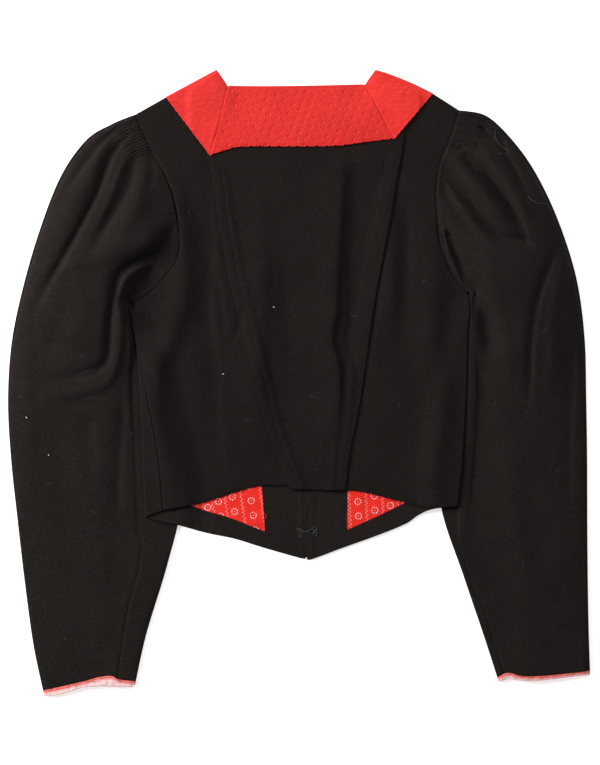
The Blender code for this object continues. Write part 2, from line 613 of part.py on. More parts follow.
def build_inside(side, grid, base, parts, facing, lining):
    """Facing, hem band and lining of one front, from the front's own points moved up."""
    rows = grid.shape[0] - 1
    columns = grid.shape[1] - 1
    points = raised(grid, base + WOOL + SEAM)
    hem_band, above_hem = rows - 1, rows - 2
    side_column = 3
    lifted = (0, 0, FACING)
    sheet(f"front_facing_{side}", inset_rows(points, above_hem - 1, rows, columns - 1, columns) + lifted,
          FACING, facing, parts)
    sheet(f"hem_facing_{side}", inset_rows(points, hem_band, rows, side_column, columns - 1) + lifted,
          FACING, facing, parts)
    sheet(f"lining_{side}", inset_rows(points, above_hem, hem_band, side_column + 1, columns - 1) + (0, 0, LINING),
          LINING, lining, parts)


def build_yoke_centre(parts, red):
    """The quilted middle of the yoke: its outer points follow the lattice over a plain inside."""
    left = smooth_line((YOKE_LEFT["C"], YOKE_LEFT["D"])) + (SEAM, 0)
    right = smooth_line((YOKE_RIGHT["C"], YOKE_RIGHT["D"])) - (SEAM, 0)
    top, bottom = smooth_line(NECKLINE), smooth_line(YOKE_LOWER_EDGE)
    across_count, down_count = 36, 14

    def grid_of(columns, rows):
        u, v = np.meshgrid(np.linspace(0, 1, columns + 1), np.linspace(0, 1, rows + 1))
        return patch(left, right, top, bottom, u, v)

    outer = grid_of(across_count, down_count)
    x, y = outer[..., 0], outer[..., 1]
    row = (NECKLINE[0][1] - y) / LATTICE_ROW
    column = (x - LATTICE_SLANT * row) / LATTICE_STEP
    lattice = 0.5 + 0.25 * np.cos(2 * math.pi * column) + 0.25 * np.cos(2 * math.pi * (row + 0.5 * np.round(column)))
    border = ease((y - at(bottom, 0.5)[1] + LATTICE_MARGIN) / LATTICE_FADE)
    border[:, 0] = border[:, -1] = 0
    border[0] = border[-1] = 0
    z = yoke_top(x, y) + LATTICE_RISE * lattice * border
    inner = grid_of(12, 7)
    inner_z = yoke_top(inner[..., 0], inner[..., 1]) - QUILTED_YOKE
    mesh = bmesh.new()
    outer_rows = [add_row(mesh, np.linspace(0, 1, across_count + 1), points) for points in raised(outer, z)]
    inner_rows = [add_row(mesh, np.linspace(0, 1, 13), points) for points in raised(inner, inner_z)]
    for rows in (outer_rows, inner_rows):
        for first, second in zip(rows, rows[1:]):
            stitch(mesh, first, second)
    stitch(mesh, outer_rows[0], inner_rows[0])
    stitch(mesh, outer_rows[-1], inner_rows[-1])
    down_outer, down_inner = np.linspace(0, 1, down_count + 1), np.linspace(0, 1, 8)
    for end in (0, -1):
        stitch(mesh, [(s, r[end][1]) for s, r in zip(down_outer, outer_rows)],
               [(s, r[end][1]) for s, r in zip(down_inner, inner_rows)])
    bmesh.ops.recalc_face_normals(mesh, faces=mesh.faces[:])
    finish(mesh, "yoke_centre", red, parts)


def build_yoke_side(name, corner, fold_line, parts, red):
    """A plain end of the yoke: from its mitre over the shoulder's fold to the seam with the front."""
    outer_edge = smooth_line((corner["A"], corner["D"]))
    mitre = smooth_line((corner["C"], corner["D"]))
    neck = smooth_line((corner["B"], corner["C"]))
    fold = smooth_line(fold_line)
    floor_outer = smooth_line((corner["A"], corner["front_outer"]))
    floor_inner = smooth_line((corner["B"], corner["front_inner"]))
    floor_end = smooth_line((corner["front_outer"], corner["front_inner"]))
    height = YOKE_BASE + PLAIN_YOKE
    edge = turn_places(height, (30, 60, 90))
    u = np.linspace(0, 1, 7)
    rows = []
    length = np.hypot(*(at(outer_edge, 1) - at(outer_edge, 0)))
    top_shares = across(length, [0, *edge], 6, (0,))
    for v in reversed(top_shares):
        plan = patch(outer_edge, neck, fold, mitre[::-1], u, np.full(7, v))
        gap = v * length
        z = yoke_top(plan[:, 0], plan[:, 1]) + PLAIN_YOKE - QUILTED_YOKE
        radius = height / 2
        z = z * ease(gap / YOKE_FADE) + height * (1 - ease(gap / YOKE_FADE))
        z = z - turned(np.full(7, gap), height)
        if gap == 0:
            z = np.full(7, radius)
        rows.append(raised(plan, z))
    for v in across(YOKE_UNDER_LENGTH, edge, 3, (0,)):
        plan = patch(floor_outer, floor_inner, fold, floor_end, u, np.full(7, v))
        rows.append(raised(plan, turned(np.full(7, v * YOKE_UNDER_LENGTH), height)))
    sheet(name, rows, PLAIN_YOKE, red, parts)


def sleeve_section(table, station):
    """The table's columns at a station, which runs from 0 at the armhole to the last row's number at the cuff."""
    rows = np.array(table)
    last = len(rows) - 1
    k = min(int(station), last - 1)
    t = station - k
    p = [rows[max(k - 1, 0)], rows[k], rows[k + 1], rows[min(k + 2, last)]]
    value = p[1] + 0.5 * t * (p[2] - p[0] + t * (2 * p[0] - 5 * p[1] + 4 * p[2] - p[3]
                                                 + t * (3 * (p[1] - p[2]) + p[3] - p[0])))
    return dict(zip(SLEEVE_COLUMNS, value))


def sleeve_plan(section, w, armhole, cuff, cuff_part, straighter):
    """x, y points across a sleeve section at shares w from its outer fold to its inner fold. straighter is how much
    of the armhole's curve goes near the inner fold, so that the sections fan out there and never cross."""
    outer = np.array((section["outer_x"], section["outer_y"]))
    inner = np.array((section["inner_x"], section["inner_y"]))
    w = np.asarray(w, float)
    straight = outer + (inner - outer) * w[:, None]
    kept = section["bulge"] * (1 - straighter * w ** 4)
    for line, part in ((armhole, kept[:, None]), (cuff, cuff_part)):
        chord = at(line, 0) + (at(line, 1) - at(line, 0)) * w[:, None]
        straight = straight + part * (at(line, w) - chord)
    return straight


def covered_share(section, fold):
    """The share of a sleeve section's width that lies under the body, and a margin."""
    reach = abs(section["inner_x"] - section["outer_x"])
    under = abs(x_at(fold, section["inner_y"]) - section["outer_x"])
    shown_below = ease((section["inner_y"] + SLEEVE_CLEAR) / SLEEVE_CLEAR_RUN)
    return max(0.0, 1 - (under - COVER_MARGIN) / reach) * shown_below


def sleeve_row(section, plan_of, inset, shares, fold_table, pleat=0.0):
    """One ring of a sleeve: shares round it and points, inset into the wall. shares are those of the points on the
    upper layer; the ring goes over the top from the outer fold and back underneath."""
    radius = section["height"] / 2
    ends = plan_of(np.array((0.0, 1.0)))
    width = np.hypot(*(ends[1] - ends[0]))
    inner_radius = radius - inset
    angles = np.radians((0, 38, 68))
    turn = inset + inner_radius * (1 - np.cos(angles))
    inside = radius / width
    shares = np.asarray(shares)
    flat = shares[(shares > 1.3 * inside) & (shares < 1 - 1.3 * inside)]
    places = [turn / width, [inside], flat, [1 - inside], 1 - turn[::-1] / width]
    w = np.concatenate(places)
    top = plan_of(w)
    q = np.clip((w - inside) / (1 - 2 * inside), 0, 1)
    shown = np.clip(q / (1 - section["covered"]), 0, 1)
    dome = np.sin(math.pi * shown) ** np.where(shown < 0.5, 0.8, 1.4)
    mask = ease(q * width / FOLD_MARGIN) * ease((1 - section["covered"] - q) * width / FOLD_MARGIN)
    z = section["height"] - inset + section["fullness"] * dome
    z = z + np.minimum(section["fullness"] / FULL_FOLDS, 1) * mask * folds(top[:, 0], top[:, 1], fold_table)
    z = np.maximum(z, section["height"] - inset)
    count = len(angles)
    z[:count] = radius + inner_radius * np.sin(angles)
    z[-count:] = radius + inner_radius * np.sin(angles[::-1])
    if pleat:
        number = np.round(w / PLEATED_SHARE * PLEATS * 2)
        ridged = (w < PLEATED_SHARE * 1.02) & (w > 1.3 * inside)
        z = z + np.where(ridged, pleat * (number % 2), 0)
    low = np.concatenate([1 - turn[1:] / width, [1 - inside], ARM_STATIONS[-2:0:-1], [inside], turn[:0:-1] / width])
    bottom = plan_of(low)
    bottom_z = np.full(len(low), float(inset))
    bottom_z[:2] = radius - inner_radius * np.sin(angles[1:])
    bottom_z[-2:] = radius - inner_radius * np.sin(angles[:0:-1])
    round_shares = np.concatenate([w, 2 - low])
    points = np.concatenate([raised(top, z), raised(bottom, bottom_z)])
    return round_shares / 2, points


def close_ring(row):
    return row + [(1.0, row[0][1])]


def build_sleeve(name, table, armhole, cuff, fold_table, side, parts, wool):
    """One sleeve: an outer and a plain inner face, joined at the armhole and at the cuff."""
    shifted = moved_sideways(LINES[armhole], -SEAM if side < 0 else SEAM)
    fold = LINES["left_fold" if side < 0 else "right_fold"]
    cuff_line = smooth_line(cuff)
    last = len(table) - 1
    pleated = (0.0, 0.35, 0.7, 1.0)
    stations = list(pleated) + [1.5, 2, 2.5, 3, 3.5, 4, 4.5, 5, 5.5, 6, 6.5, 7, 8, 9, 9.33, 9.67, 10, 11, 11.6, 12]
    plain = np.array(ARM_STATIONS)
    pleats = np.arange(1, 2 * PLEATS) / (2 * PLEATS) * PLEATED_SHARE
    fine = np.concatenate([[0.0], pleats, plain[2:]])

    def rings(mesh, inset, outer_face):
        made = []
        for station in stations:
            section = sleeve_section(table, station)
            section["covered"] = covered_share(section, fold)
            part = ease(station - (last - 1.5))

            def plan_of(w):
                return sleeve_plan(section, w, shifted, cuff_line, part, min(1.5, FAN * station))

            shares, rise = plain, 0.0
            if station <= 1.0:
                shares = fine
                rise = PLEAT_RISE * (1 - 0.5 * station) if outer_face else 0.0
            row = sleeve_row(section, plan_of, inset, shares, fold_table, rise)
            made.append(close_ring(add_row(mesh, *row)))
        for first, second in zip(made, made[1:]):
            stitch(mesh, first, second, in_threes=True)
        return made

    mesh = bmesh.new()
    outer_rings = rings(mesh, 0.0, True)
    inner_rings = rings(mesh, WOOL, False)
    for end in (0, -1):
        stitch(mesh, outer_rings[end], inner_rings[end])
    bmesh.ops.recalc_face_normals(mesh, faces=mesh.faces[:])
    finish(mesh, name, wool, parts)


def build_cuff_edge(name, table, cuff, red_edge, parts, red):
    """The narrow red edge beyond a cuff, a flat ring as high as the cuff."""
    black, end = smooth_line(cuff), smooth_line(red_edge)
    section = sleeve_section(table, len(table) - 1.0)
    section = dict(section, height=SLEEVE_HEIGHT - 0.4, covered=0.0)

    def plan_at(part):
        def plan_of(w):
            start = at(black, w)
            finish_at = at(end, w)
            way = finish_at - start
            length = np.maximum(np.hypot(way[:, 0], way[:, 1]), 0.8)[:, None]
            first = start + way / length * SEAM * 1.5
            return first + (finish_at - first) * part
        return plan_of

    mesh = bmesh.new()
    rings = []
    for inset in (0.0, CUFF_EDGE):
        rows = []
        for part in (0.0, 1.0):
            flat = dict(section, fullness=2.3)
            row = sleeve_row(flat, plan_at(part), inset, ARM_STATIONS, ())
            rows.append(close_ring(add_row(mesh, *row)))
        stitch(mesh, rows[0], rows[1])
        rings.append(rows)
    for end_number in (0, 1):
        stitch(mesh, rings[0][end_number], rings[1][end_number])
    bmesh.ops.recalc_face_normals(mesh, faces=mesh.faces[:])
    finish(mesh, name, red, parts)


def build_wire(name, path, parts, metal):
    """A bent wire through a path of x, y, z points in mm."""
    curve = bpy.data.curves.new(name, "CURVE")
    curve.dimensions = "3D"
    curve.bevel_depth = WIRE / 2 * MM
    curve.bevel_resolution = 2
    curve.use_fill_caps = True
    spline = curve.splines.new("POLY")
    spline.points.add(len(path) - 1)
    for point, place in zip(spline.points, path):
        point.co = (*(np.array(place) * MM), 1.0)
    curve.materials.append(metal)
    made = bpy.data.objects.new(name, curve)
    parts.objects.link(made)


def ring_points(centre, radius, first_angle, last_angle, steps):
    angles = np.radians(np.linspace(first_angle, last_angle, steps))
    return [(centre[0] + radius * math.cos(a), centre[1] + radius * math.sin(a)) for a in angles]


def build_fastening(parts, metal):
    """The hook on the left front's facing and the eye on the right one's, fastened: the hook's bill goes over the
    eye's loop."""
    low = WOOL + SEAM + FACING + SEAM + WIRE / 2
    x, y = CENTRE_FRONT, HOOK_Y
    loop = 1.9
    hook = [(px, py, low) for px, py in ring_points((x - 8.0, y + 2.3), loop, 250, -60, 9)]
    hook += [(x - 5.6, y + 0.7, low), (x - 2.0, y + 0.7, low), (x + 1.6, y + 0.7, low)]
    hook += [(x + 2.6, y + 0.7, low + 0.4), (x + 2.9, y + 0.7, low + 1.2), (x + 2.4, y + 0.7, low + 2.0)]
    hook += [(x + 0.4, y + 0.7, low + 2.1), (x - 1.8, y + 0.7, low + 1.9)]
    build_wire("hook", hook, parts, metal)
    eye = [(px, py, low) for px, py in ring_points((x + 9.4, y + 3.6), loop, 100, -110, 8)]
    eye += [(x + 6.0, y + 2.6, low + 0.3), (x + 3.0, y + 2.4, low + 1.0), (x + 1.4, y + 1.9, low + 1.05)]
    eye += [(x + 0.7, y + 0.7, low + 1.05)]
    eye += [(x + 1.4, y - 0.5, low + 1.05), (x + 3.0, y - 1.0, low + 1.0), (x + 6.0, y - 1.2, low + 0.3)]
    eye += [(px, py, low) for px, py in ring_points((x + 9.4, y - 2.2), loop, 110, -100, 8)]
    build_wire("eye", eye, parts, metal)


def main():
    for old in list(bpy.data.objects):
        bpy.data.objects.remove(old, do_unlink=True)
    parts = bpy.data.collections.new("bolero_jacket")
    bpy.context.scene.collection.children.link(parts)
    wool = material("black_wool", WOOL_BLACK, 0.92)
    red = material("red_yoke_cloth", YOKE_RED, 0.75)
    lining = material("printed_lining", LINING_RED, 0.6)
    edging = material("cuff_edging", EDGE_RED, 0.6)
    metal = material("hook_wire", WIRE_BLACK, 0.4, 0.6)

    build_back(parts, wool)
    build_sides(parts, wool)
    build_fronts(parts, wool, wool, lining)
    build_yoke_centre(parts, red)
    left_fold = (YOKE_LEFT["A"], YOKE_LEFT["B"])
    build_yoke_side("yoke_left", YOKE_LEFT, left_fold, parts, red)
    build_yoke_side("yoke_right", YOKE_RIGHT, RIGHT_YOKE_FOLD, parts, red)
    build_sleeve("sleeve_left", LEFT_SLEEVE, "left_armhole", LEFT_CUFF, SLEEVE_FOLDS_LEFT, -1, parts, wool)
    build_sleeve("sleeve_right", RIGHT_SLEEVE, "right_armhole", RIGHT_CUFF, SLEEVE_FOLDS_RIGHT, 1, parts, wool)
    build_cuff_edge("cuff_edge_left", LEFT_SLEEVE, LEFT_CUFF, LEFT_CUFF_RED, parts, edging)
    build_cuff_edge("cuff_edge_right", RIGHT_SLEEVE, RIGHT_CUFF, RIGHT_CUFF_RED, parts, edging)
    build_fastening(parts, metal)


main()
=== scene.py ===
"""Looks of the bolero jacket: cloth shells with their folds, gathers, sewing and prints, and the light.

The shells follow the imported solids. Lengths are in millimetres until a mesh is made: +X is to the right,
+Y runs from the hem to the neck, +Z is up from the surface, and the back of the jacket is on top.
"""

import math

import bmesh
import bpy
import numpy as np
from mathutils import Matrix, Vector


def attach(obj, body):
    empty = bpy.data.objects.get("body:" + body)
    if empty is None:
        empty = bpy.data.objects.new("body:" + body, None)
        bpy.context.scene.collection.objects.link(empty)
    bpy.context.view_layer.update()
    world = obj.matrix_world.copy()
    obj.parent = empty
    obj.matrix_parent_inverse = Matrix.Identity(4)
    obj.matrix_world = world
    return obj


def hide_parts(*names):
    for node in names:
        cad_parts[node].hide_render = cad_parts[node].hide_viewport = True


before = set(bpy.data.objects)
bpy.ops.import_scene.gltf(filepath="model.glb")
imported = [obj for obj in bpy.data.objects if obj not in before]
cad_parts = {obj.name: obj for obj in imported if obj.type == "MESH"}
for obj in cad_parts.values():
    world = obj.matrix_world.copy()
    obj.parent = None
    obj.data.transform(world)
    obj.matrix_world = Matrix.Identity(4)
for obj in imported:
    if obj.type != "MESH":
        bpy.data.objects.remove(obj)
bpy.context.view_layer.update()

MM = 0.001

# Cloth and the space between layers, as in the solids
WOOL = 1.4
PLAIN_YOKE = 1.6
QUILTED_YOKE = 1.5
FACING = 1.0
LINING = 0.7
CUFF_EDGE = 1.2
SEAM = 0.3
BODY_HEIGHT = 5.0
SLEEVE_HEIGHT = 4.0
LIFT = 4.5                     # of the body's sides, where they lie on the sleeves
LIFT_RAMP = 26.0
LIFT_START = {"left": 88.0, "right": 98.0}    # y at the armholes' lower ends
LIFT_RUN = 10.0
SLEEVE_CLEAR = 185.0           # how far below the origin the sleeves come out from under the hem
SLEEVE_CLEAR_RUN = 24.0
COVER_MARGIN = 8.0
FAN = 0.42                     # how fast a sleeve's sections straighten near its inner fold
LAP_WIDTH = 13.0
LAP_FADE = 9.0
LAP_RISE = WOOL + SEAM
FLAP_SHARE = 0.36              # the most of the middle panel's width that one lap takes
TUCK = 9.0                     # how far the side panels go under the middle one
TUCK_RUN = 45.0
YOKE_RISE_START = 204.0        # y where the middle panel starts to rise towards the yoke
YOKE_RISE_RUN = 44.0
NECK_SAG = 3.6
NECK_SAG_START = 280.0
NECK_SAG_RUN = 44.0
NECK_HALF_WIDTH = 92.0
NECK_FADE = 30.0
CENTRE_FRONT = 8.2
ARM_END_TURN = 0.18            # how far the side's fold has turned at the armhole's lower end

# What the cloth shells add to the solids
SLEEVE_REACH = 8.0             # how much further the sleeves go under the body at the underarms
UNDERARM_REACH = 7.0           # how far a front's corner goes on inside the sleeve there, as its allowance
EDGE_ROLL = 0.45               # of a cloth's thickness, by which its edges bulge
EDGE_RINGS = ((0.18, 0.72), (0.5, 1.0), (0.82, 0.72))    # shares of the thickness and of that bulge
LEFT_STITCH = 11.0             # topstitching, from the left lap's edge
RIGHT_STITCH = (12.4, 15.6)    # and from the right one's
STITCH_ENDS = (250, -113)      # y of their upper and lower ends
STITCH_LENGTH = 2.3
STITCH_GAP = 0.75
STITCH_WIDTH = 0.55
STITCH_RISE = 0.22
STITCH_SINK = 0.2              # of its ends into the cloth
STITCH_PLACES = (0.0, 0.12, 0.5, 0.88, 1.0)    # of its rings along it
STITCH_SIZES = (0.25, 0.8, 1.0, 0.8, 0.25)     # and how full it is there
THREAD_SIDES = 6
THREAD_END = 0.45              # how thick a thread is at its ends, as a share
HOLLOW = {"left": (1.7, 9.0), "right": (0.9, 6.0)}    # depth and width of the hollow beside each lap
DEEPEST = 2.4                  # the deepest trough of the back
INSIDE_MARGIN = 2.5            # how far the bands and linings start from the side's fold

# Smocking at the sleeve heads
PLEATS = 15
PLEATED_SHARE = 0.186
PLEAT_RISE = {"left": 1.5, "right": 2.7}
PLEAT_LENGTH = {"left": 24.0, "right": 27.0}
SMOCK_ROW = 5.6
BESIDE_RISE = 4.6     # of the right sleeve against the body's edge
BESIDE_RUN = 12.0

# Points down and across each piece
BACK_ROWS = 161
BACK_POINTS = 53           # between the laps
LAP_POINTS = 23            # over each lap
BACK_SIDE_ROWS = (92, 84)  # along the armhole and below it
BACK_SIDE_POINTS = 73
FRONT_SIDE_ROWS = (60, 60)
FRONT_POINTS = 50
STRIP_POINTS = (120, 22)
FACING_POINTS = (90, 34)
BAND_POINTS = (22, 80)
LINING_POINTS = (70, 90)
YOKE_CENTRE_POINTS = (137, 417)
YOKE_SIDE_POINTS = (72, 81)
YOKE_TURN_POINTS = 9
YOKE_UNDER_ROWS = 24
NARROWEST = 8.0            # a row's width, as far as its points are spread by it

# Points across a sleeve
TURN_POINTS = 7       # in each quarter of its folded edges
TOP_POINTS = 186      # between them, on the layer that shows
PLEAT_POINTS = 104    # of those, over the smocked share where the pleats are full
LOW_POINTS = 56       # on the layer underneath

# Cuffs
CUFF_HEM = 23.0       # width of the turned hem
CUFF_POINTS = (88, 44)    # on the layer that shows and on the one underneath
CUFF_EDGE_ROWS = (0.0, 0.1, 0.22, 0.36, 0.52, 0.68, 0.82, 0.92, 0.97, 1.0)
CUFF_EDGE_RISE = 2.3
CUFF_WEAR = (1.9, 3.7)    # from the wool, where the red edge turns pink and then pale

# Lines of the body
LEFT_ARMHOLE = ((-180, 295), (-162, 254), (-147, 229), (-135, 196), (-130.5, 157), (-133, 137), (-147, 117),
                (-167, 97), (-184, 88))
RIGHT_ARMHOLE = ((176, 299.5), (167, 271), (156, 247), (150.5, 219), (150.5, 186), (154, 155), (161, 134),
                 (172, 113), (185, 99))
LEFT_FOLD = ((-184, 88), (-185.2, 79), (-184.8, 68), (-181, 52), (-178, 36), (-175, -8), (-172.5, -60),
             (-169.5, -147))
RIGHT_FOLD = ((185, 99), (187.8, 91), (188.4, 78), (187, 62), (186, 47), (184, -19), (180, -85),
              (175, -134.5))
LEFT_SIDE_SEAM = ((-180.5, 87), (-174.5, 43), (-167.5, -8), (-158, -55), (-153, -90), (-148.5, -139))
LEFT_LAP = ((-104, 262), (-93.5, 220), (-90, 189), (-82.5, 146), (-71.5, 93), (-48, 3), (-34, -52),
            (-10, -116))
RIGHT_LAP = ((117, 287), (112, 250), (106.5, 221), (101, 185), (95.5, 158), (82.5, 88), (67, -19), (56, -74),
             (50.5, -117.5))
LEFT_SHOULDER = ((-180, 295), (-146.8, 313.8))
RIGHT_SHOULDER = ((176, 299.5), (148.1, 317.4))
BACK_TOP = ((-104, 262), (-60, 271), (60, 272), (100, 279), (117, 287))
SIDE_HEM_LEFT = ((-148.5, -139), (-113, -133), (-95, -128), (-63, -118), (-41, -114.5), (-6, -116))
CENTRE_HEM = ((-10, -116), (11, -116.5), (50.5, -117.5))
SIDE_HEM_RIGHT = ((46.5, -117.5), (74, -120), (106, -128), (131, -134), (147, -136.5), (175, -134.5))
LEFT_FRONT_EDGE = ((-146.8, 313.8), (-142.2, 256), None, (-84.5, 253), None, (CENTRE_FRONT - 0.15, 112), None,
                   (CENTRE_FRONT - 0.15, -191))
RIGHT_FRONT_EDGE = ((148.1, 317.4), (143, 256), None, (78.5, 253), None, (CENTRE_FRONT + 0.15, 112), None,
                    (CENTRE_FRONT + 0.15, -191))
LEFT_FRONT_HEM = ((-169.5, -147), (-150, -152.5), (-131, -156), (-103, -164), (-71.5, -170.5), (-44, -179),
                  (-16.5, -187), (4, -192.5), (CENTRE_FRONT - 0.15, -191))
RIGHT_FRONT_HEM = ((175, -134.5), (147, -138), (131, -145), (118, -154), (89, -166), (46, -181.5),
                   (13, -193.5), (CENTRE_FRONT + 0.15, -191))
FACING_EDGES = {"left": ((-42.5, -40), (-41.5, -90), (-40.4, -120), (-37.4, -163), (-36.2, -190)),
                "right": ((54.2, -40), (53.6, -90), (53.4, -120), (53.2, -162), (53.0, -190))}
UNDERARM_ROW = 275                              # on the centre front, from its lower end
FRONT_ROWS = (266, 230, 180, 130, 88, 13, 0)    # and the rows below it
ARM_STATIONS = (0, 0.09, 0.186, 0.28, 0.371, 0.45, 0.53, 0.61, 0.69, 0.77, 0.85, 0.911, 1.0)
SIDE_STATIONS = (0.05, 0.2, 0.38, 0.55, 0.70, 0.87, 1.0)
SIDE_PARTS = (0.56, 0.63, 0.70, 0.78, 0.85, 0.925, 1.0)

# Red yoke: A at the shoulder's outer end, B at the neck, C at the mitre's top, D at its lower end
YOKES = {
    "left": {"A": (-146.3, 314.6), "B": (-91.3, 344.0), "C": (-78.1, 325.0), "D": (-97.6, 250.0),
             "front_outer": (-141.8, 256.5), "front_inner": (-84.2, 253.4),
             "fold": ((-146.3, 314.6), (-91.3, 344.0))},
    "right": {"A": (147.4, 318.2), "B": (84.7, 344.0), "C": (72.6, 327.2), "D": (104.9, 268.2),
              "front_outer": (142.6, 256.5), "front_inner": (78.2, 253.4),
              "fold": ((147.4, 318.2), (127.6, 328), (101, 339), (84.7, 344.0))},
}
YOKE_DEPTH = 70.0          # of the quilted middle, from the neck to its lower edge
YOKE_UNDER_LENGTH = 60.0   # of each plain end's part under the shoulder's fold
YOKE_FADE = 16.0           # over which the plain ends come down to that fold
YOKE_LOWER_EDGE = ((-97.3, 250.0), (-80, 255.5), (-65, 259), (-30, 259.6), (9, 259.6), (46, 260.7), (78, 265),
                   (104.6, 268.2))
NECKLINE = ((-77.8, 325.0), (-71.5, 325.7), (-30, 325.6), (16.5, 326.2), (64, 327.4), (72.3, 327.2))
SCALLOP = 10.3       # from notch to notch along the yoke's sewn edges
ZIGZAG_PITCH = 3.4   # between the quilted ridges
ZIGZAG_ROW = 9.8
ZIGZAG_SWING = 2.6
ZIGZAG_RISE = 0.55
LATTICE_STEP = 10.4
LATTICE_SLANT = -3.9

# Sleeves: a row for each section, from the armhole to the cuff
SLEEVE_COLUMNS = ("outer_x", "outer_y", "inner_x", "inner_y", "bulge", "height", "fullness")
LEFT_SLEEVE = (
    (-180.3, 295.0, -184.4, 88.4, 1.00, BODY_HEIGHT, 0.0),
    (-206.0, 284.5, -188.5, 88.5, 0.95, BODY_HEIGHT, 6.5),
    (-234.0, 267.0, -190.5, 84.5, 0.86, BODY_HEIGHT, 14.0),
    (-262.0, 227.0, -189.5, 76.0, 0.66, 4.7, 19.0),
    (-285.5, 167.0, -185.5, 63.0, 0.40, 4.3, 20.0),
    (-303.5, 105.0, -177.5, 45.0, 0.20, SLEEVE_HEIGHT, 18.0),
    (-316.0, 44.0, -165.0, 18.0, 0.10, SLEEVE_HEIGHT, 15.0),
    (-320.0, -20.0, -151.0, -16.0, 0.00, SLEEVE_HEIGHT, 12.0),
    (-316.5, -85.0, -138.0, -72.0, 0.00, SLEEVE_HEIGHT, 10.0),
    (-309.5, -150.0, -130.5, -135.0, 0.00, SLEEVE_HEIGHT, 8.0),
    (-302.0, -215.0, -144.5, -199.0, 0.00, SLEEVE_HEIGHT, 6.5),
    (-292.5, -285.0, -167.5, -275.0, 0.00, SLEEVE_HEIGHT, 4.5),
    (-281.6, -337.7, -179.3, -327.8, 0.00, SLEEVE_HEIGHT, 2.5),
)
RIGHT_SLEEVE = (
    (176.3, 299.6, 185.4, 99.4, 1.00, BODY_HEIGHT, 0.0),
    (207.0, 293.0, 189.4, 98.5, 0.95, BODY_HEIGHT, 6.5),
    (239.0, 261.6, 191.5, 93.0, 0.84, BODY_HEIGHT, 14.0),
    (264.5, 223.0, 191.0, 84.0, 0.65, 4.7, 19.0),
    (287.5, 172.0, 189.0, 70.0, 0.40, 4.3, 20.0),
    (305.5, 113.0, 184.0, 48.0, 0.20, SLEEVE_HEIGHT, 18.0),
    (314.0, 50.0, 174.5, 16.0, 0.10, SLEEVE_HEIGHT, 15.0),
    (315.8, -15.0, 163.5, -20.0, 0.00, SLEEVE_HEIGHT, 12.0),
    (316.8, -82.0, 154.5, -74.0, 0.00, SLEEVE_HEIGHT, 10.0),
    (317.0, -150.0, 156.5, -138.0, 0.00, SLEEVE_HEIGHT, 8.0),
    (317.5, -213.0, 180.8, -212.0, 0.00, SLEEVE_HEIGHT, 6.5),
    (318.5, -270.0, 202.5, -276.0, 0.00, SLEEVE_HEIGHT, 4.5),
    (320.0, -315.7, 217.8, -323.4, 0.00, SLEEVE_HEIGHT, 2.5),
)
LEFT_CUFF = ((-281.6, -337.7), (-266, -334.4), (-251, -331), (-233, -326.7), (-222, -323.4), (-206, -321.5),
             (-198, -325.4), (-179.3, -327.8))
RIGHT_CUFF = ((320.0, -315.7), (294, -319), (273, -321.2), (251, -322.2), (242, -321.2), (229, -318.2),
              (217.8, -323.4))
LEFT_CUFF_RED = ((-280.5, -344.2), (-266, -343.0), (-251, -338.8), (-236.5, -334.5), (-217, -333.2),
                 (-206, -333.6), (-185, -334.0), (-179.6, -331.2))
RIGHT_CUFF_RED = ((319.8, -320.6), (294, -323.4), (279, -325.4), (258.5, -327.6), (245, -327.0),
                  (230, -325.4), (219.4, -328.6))

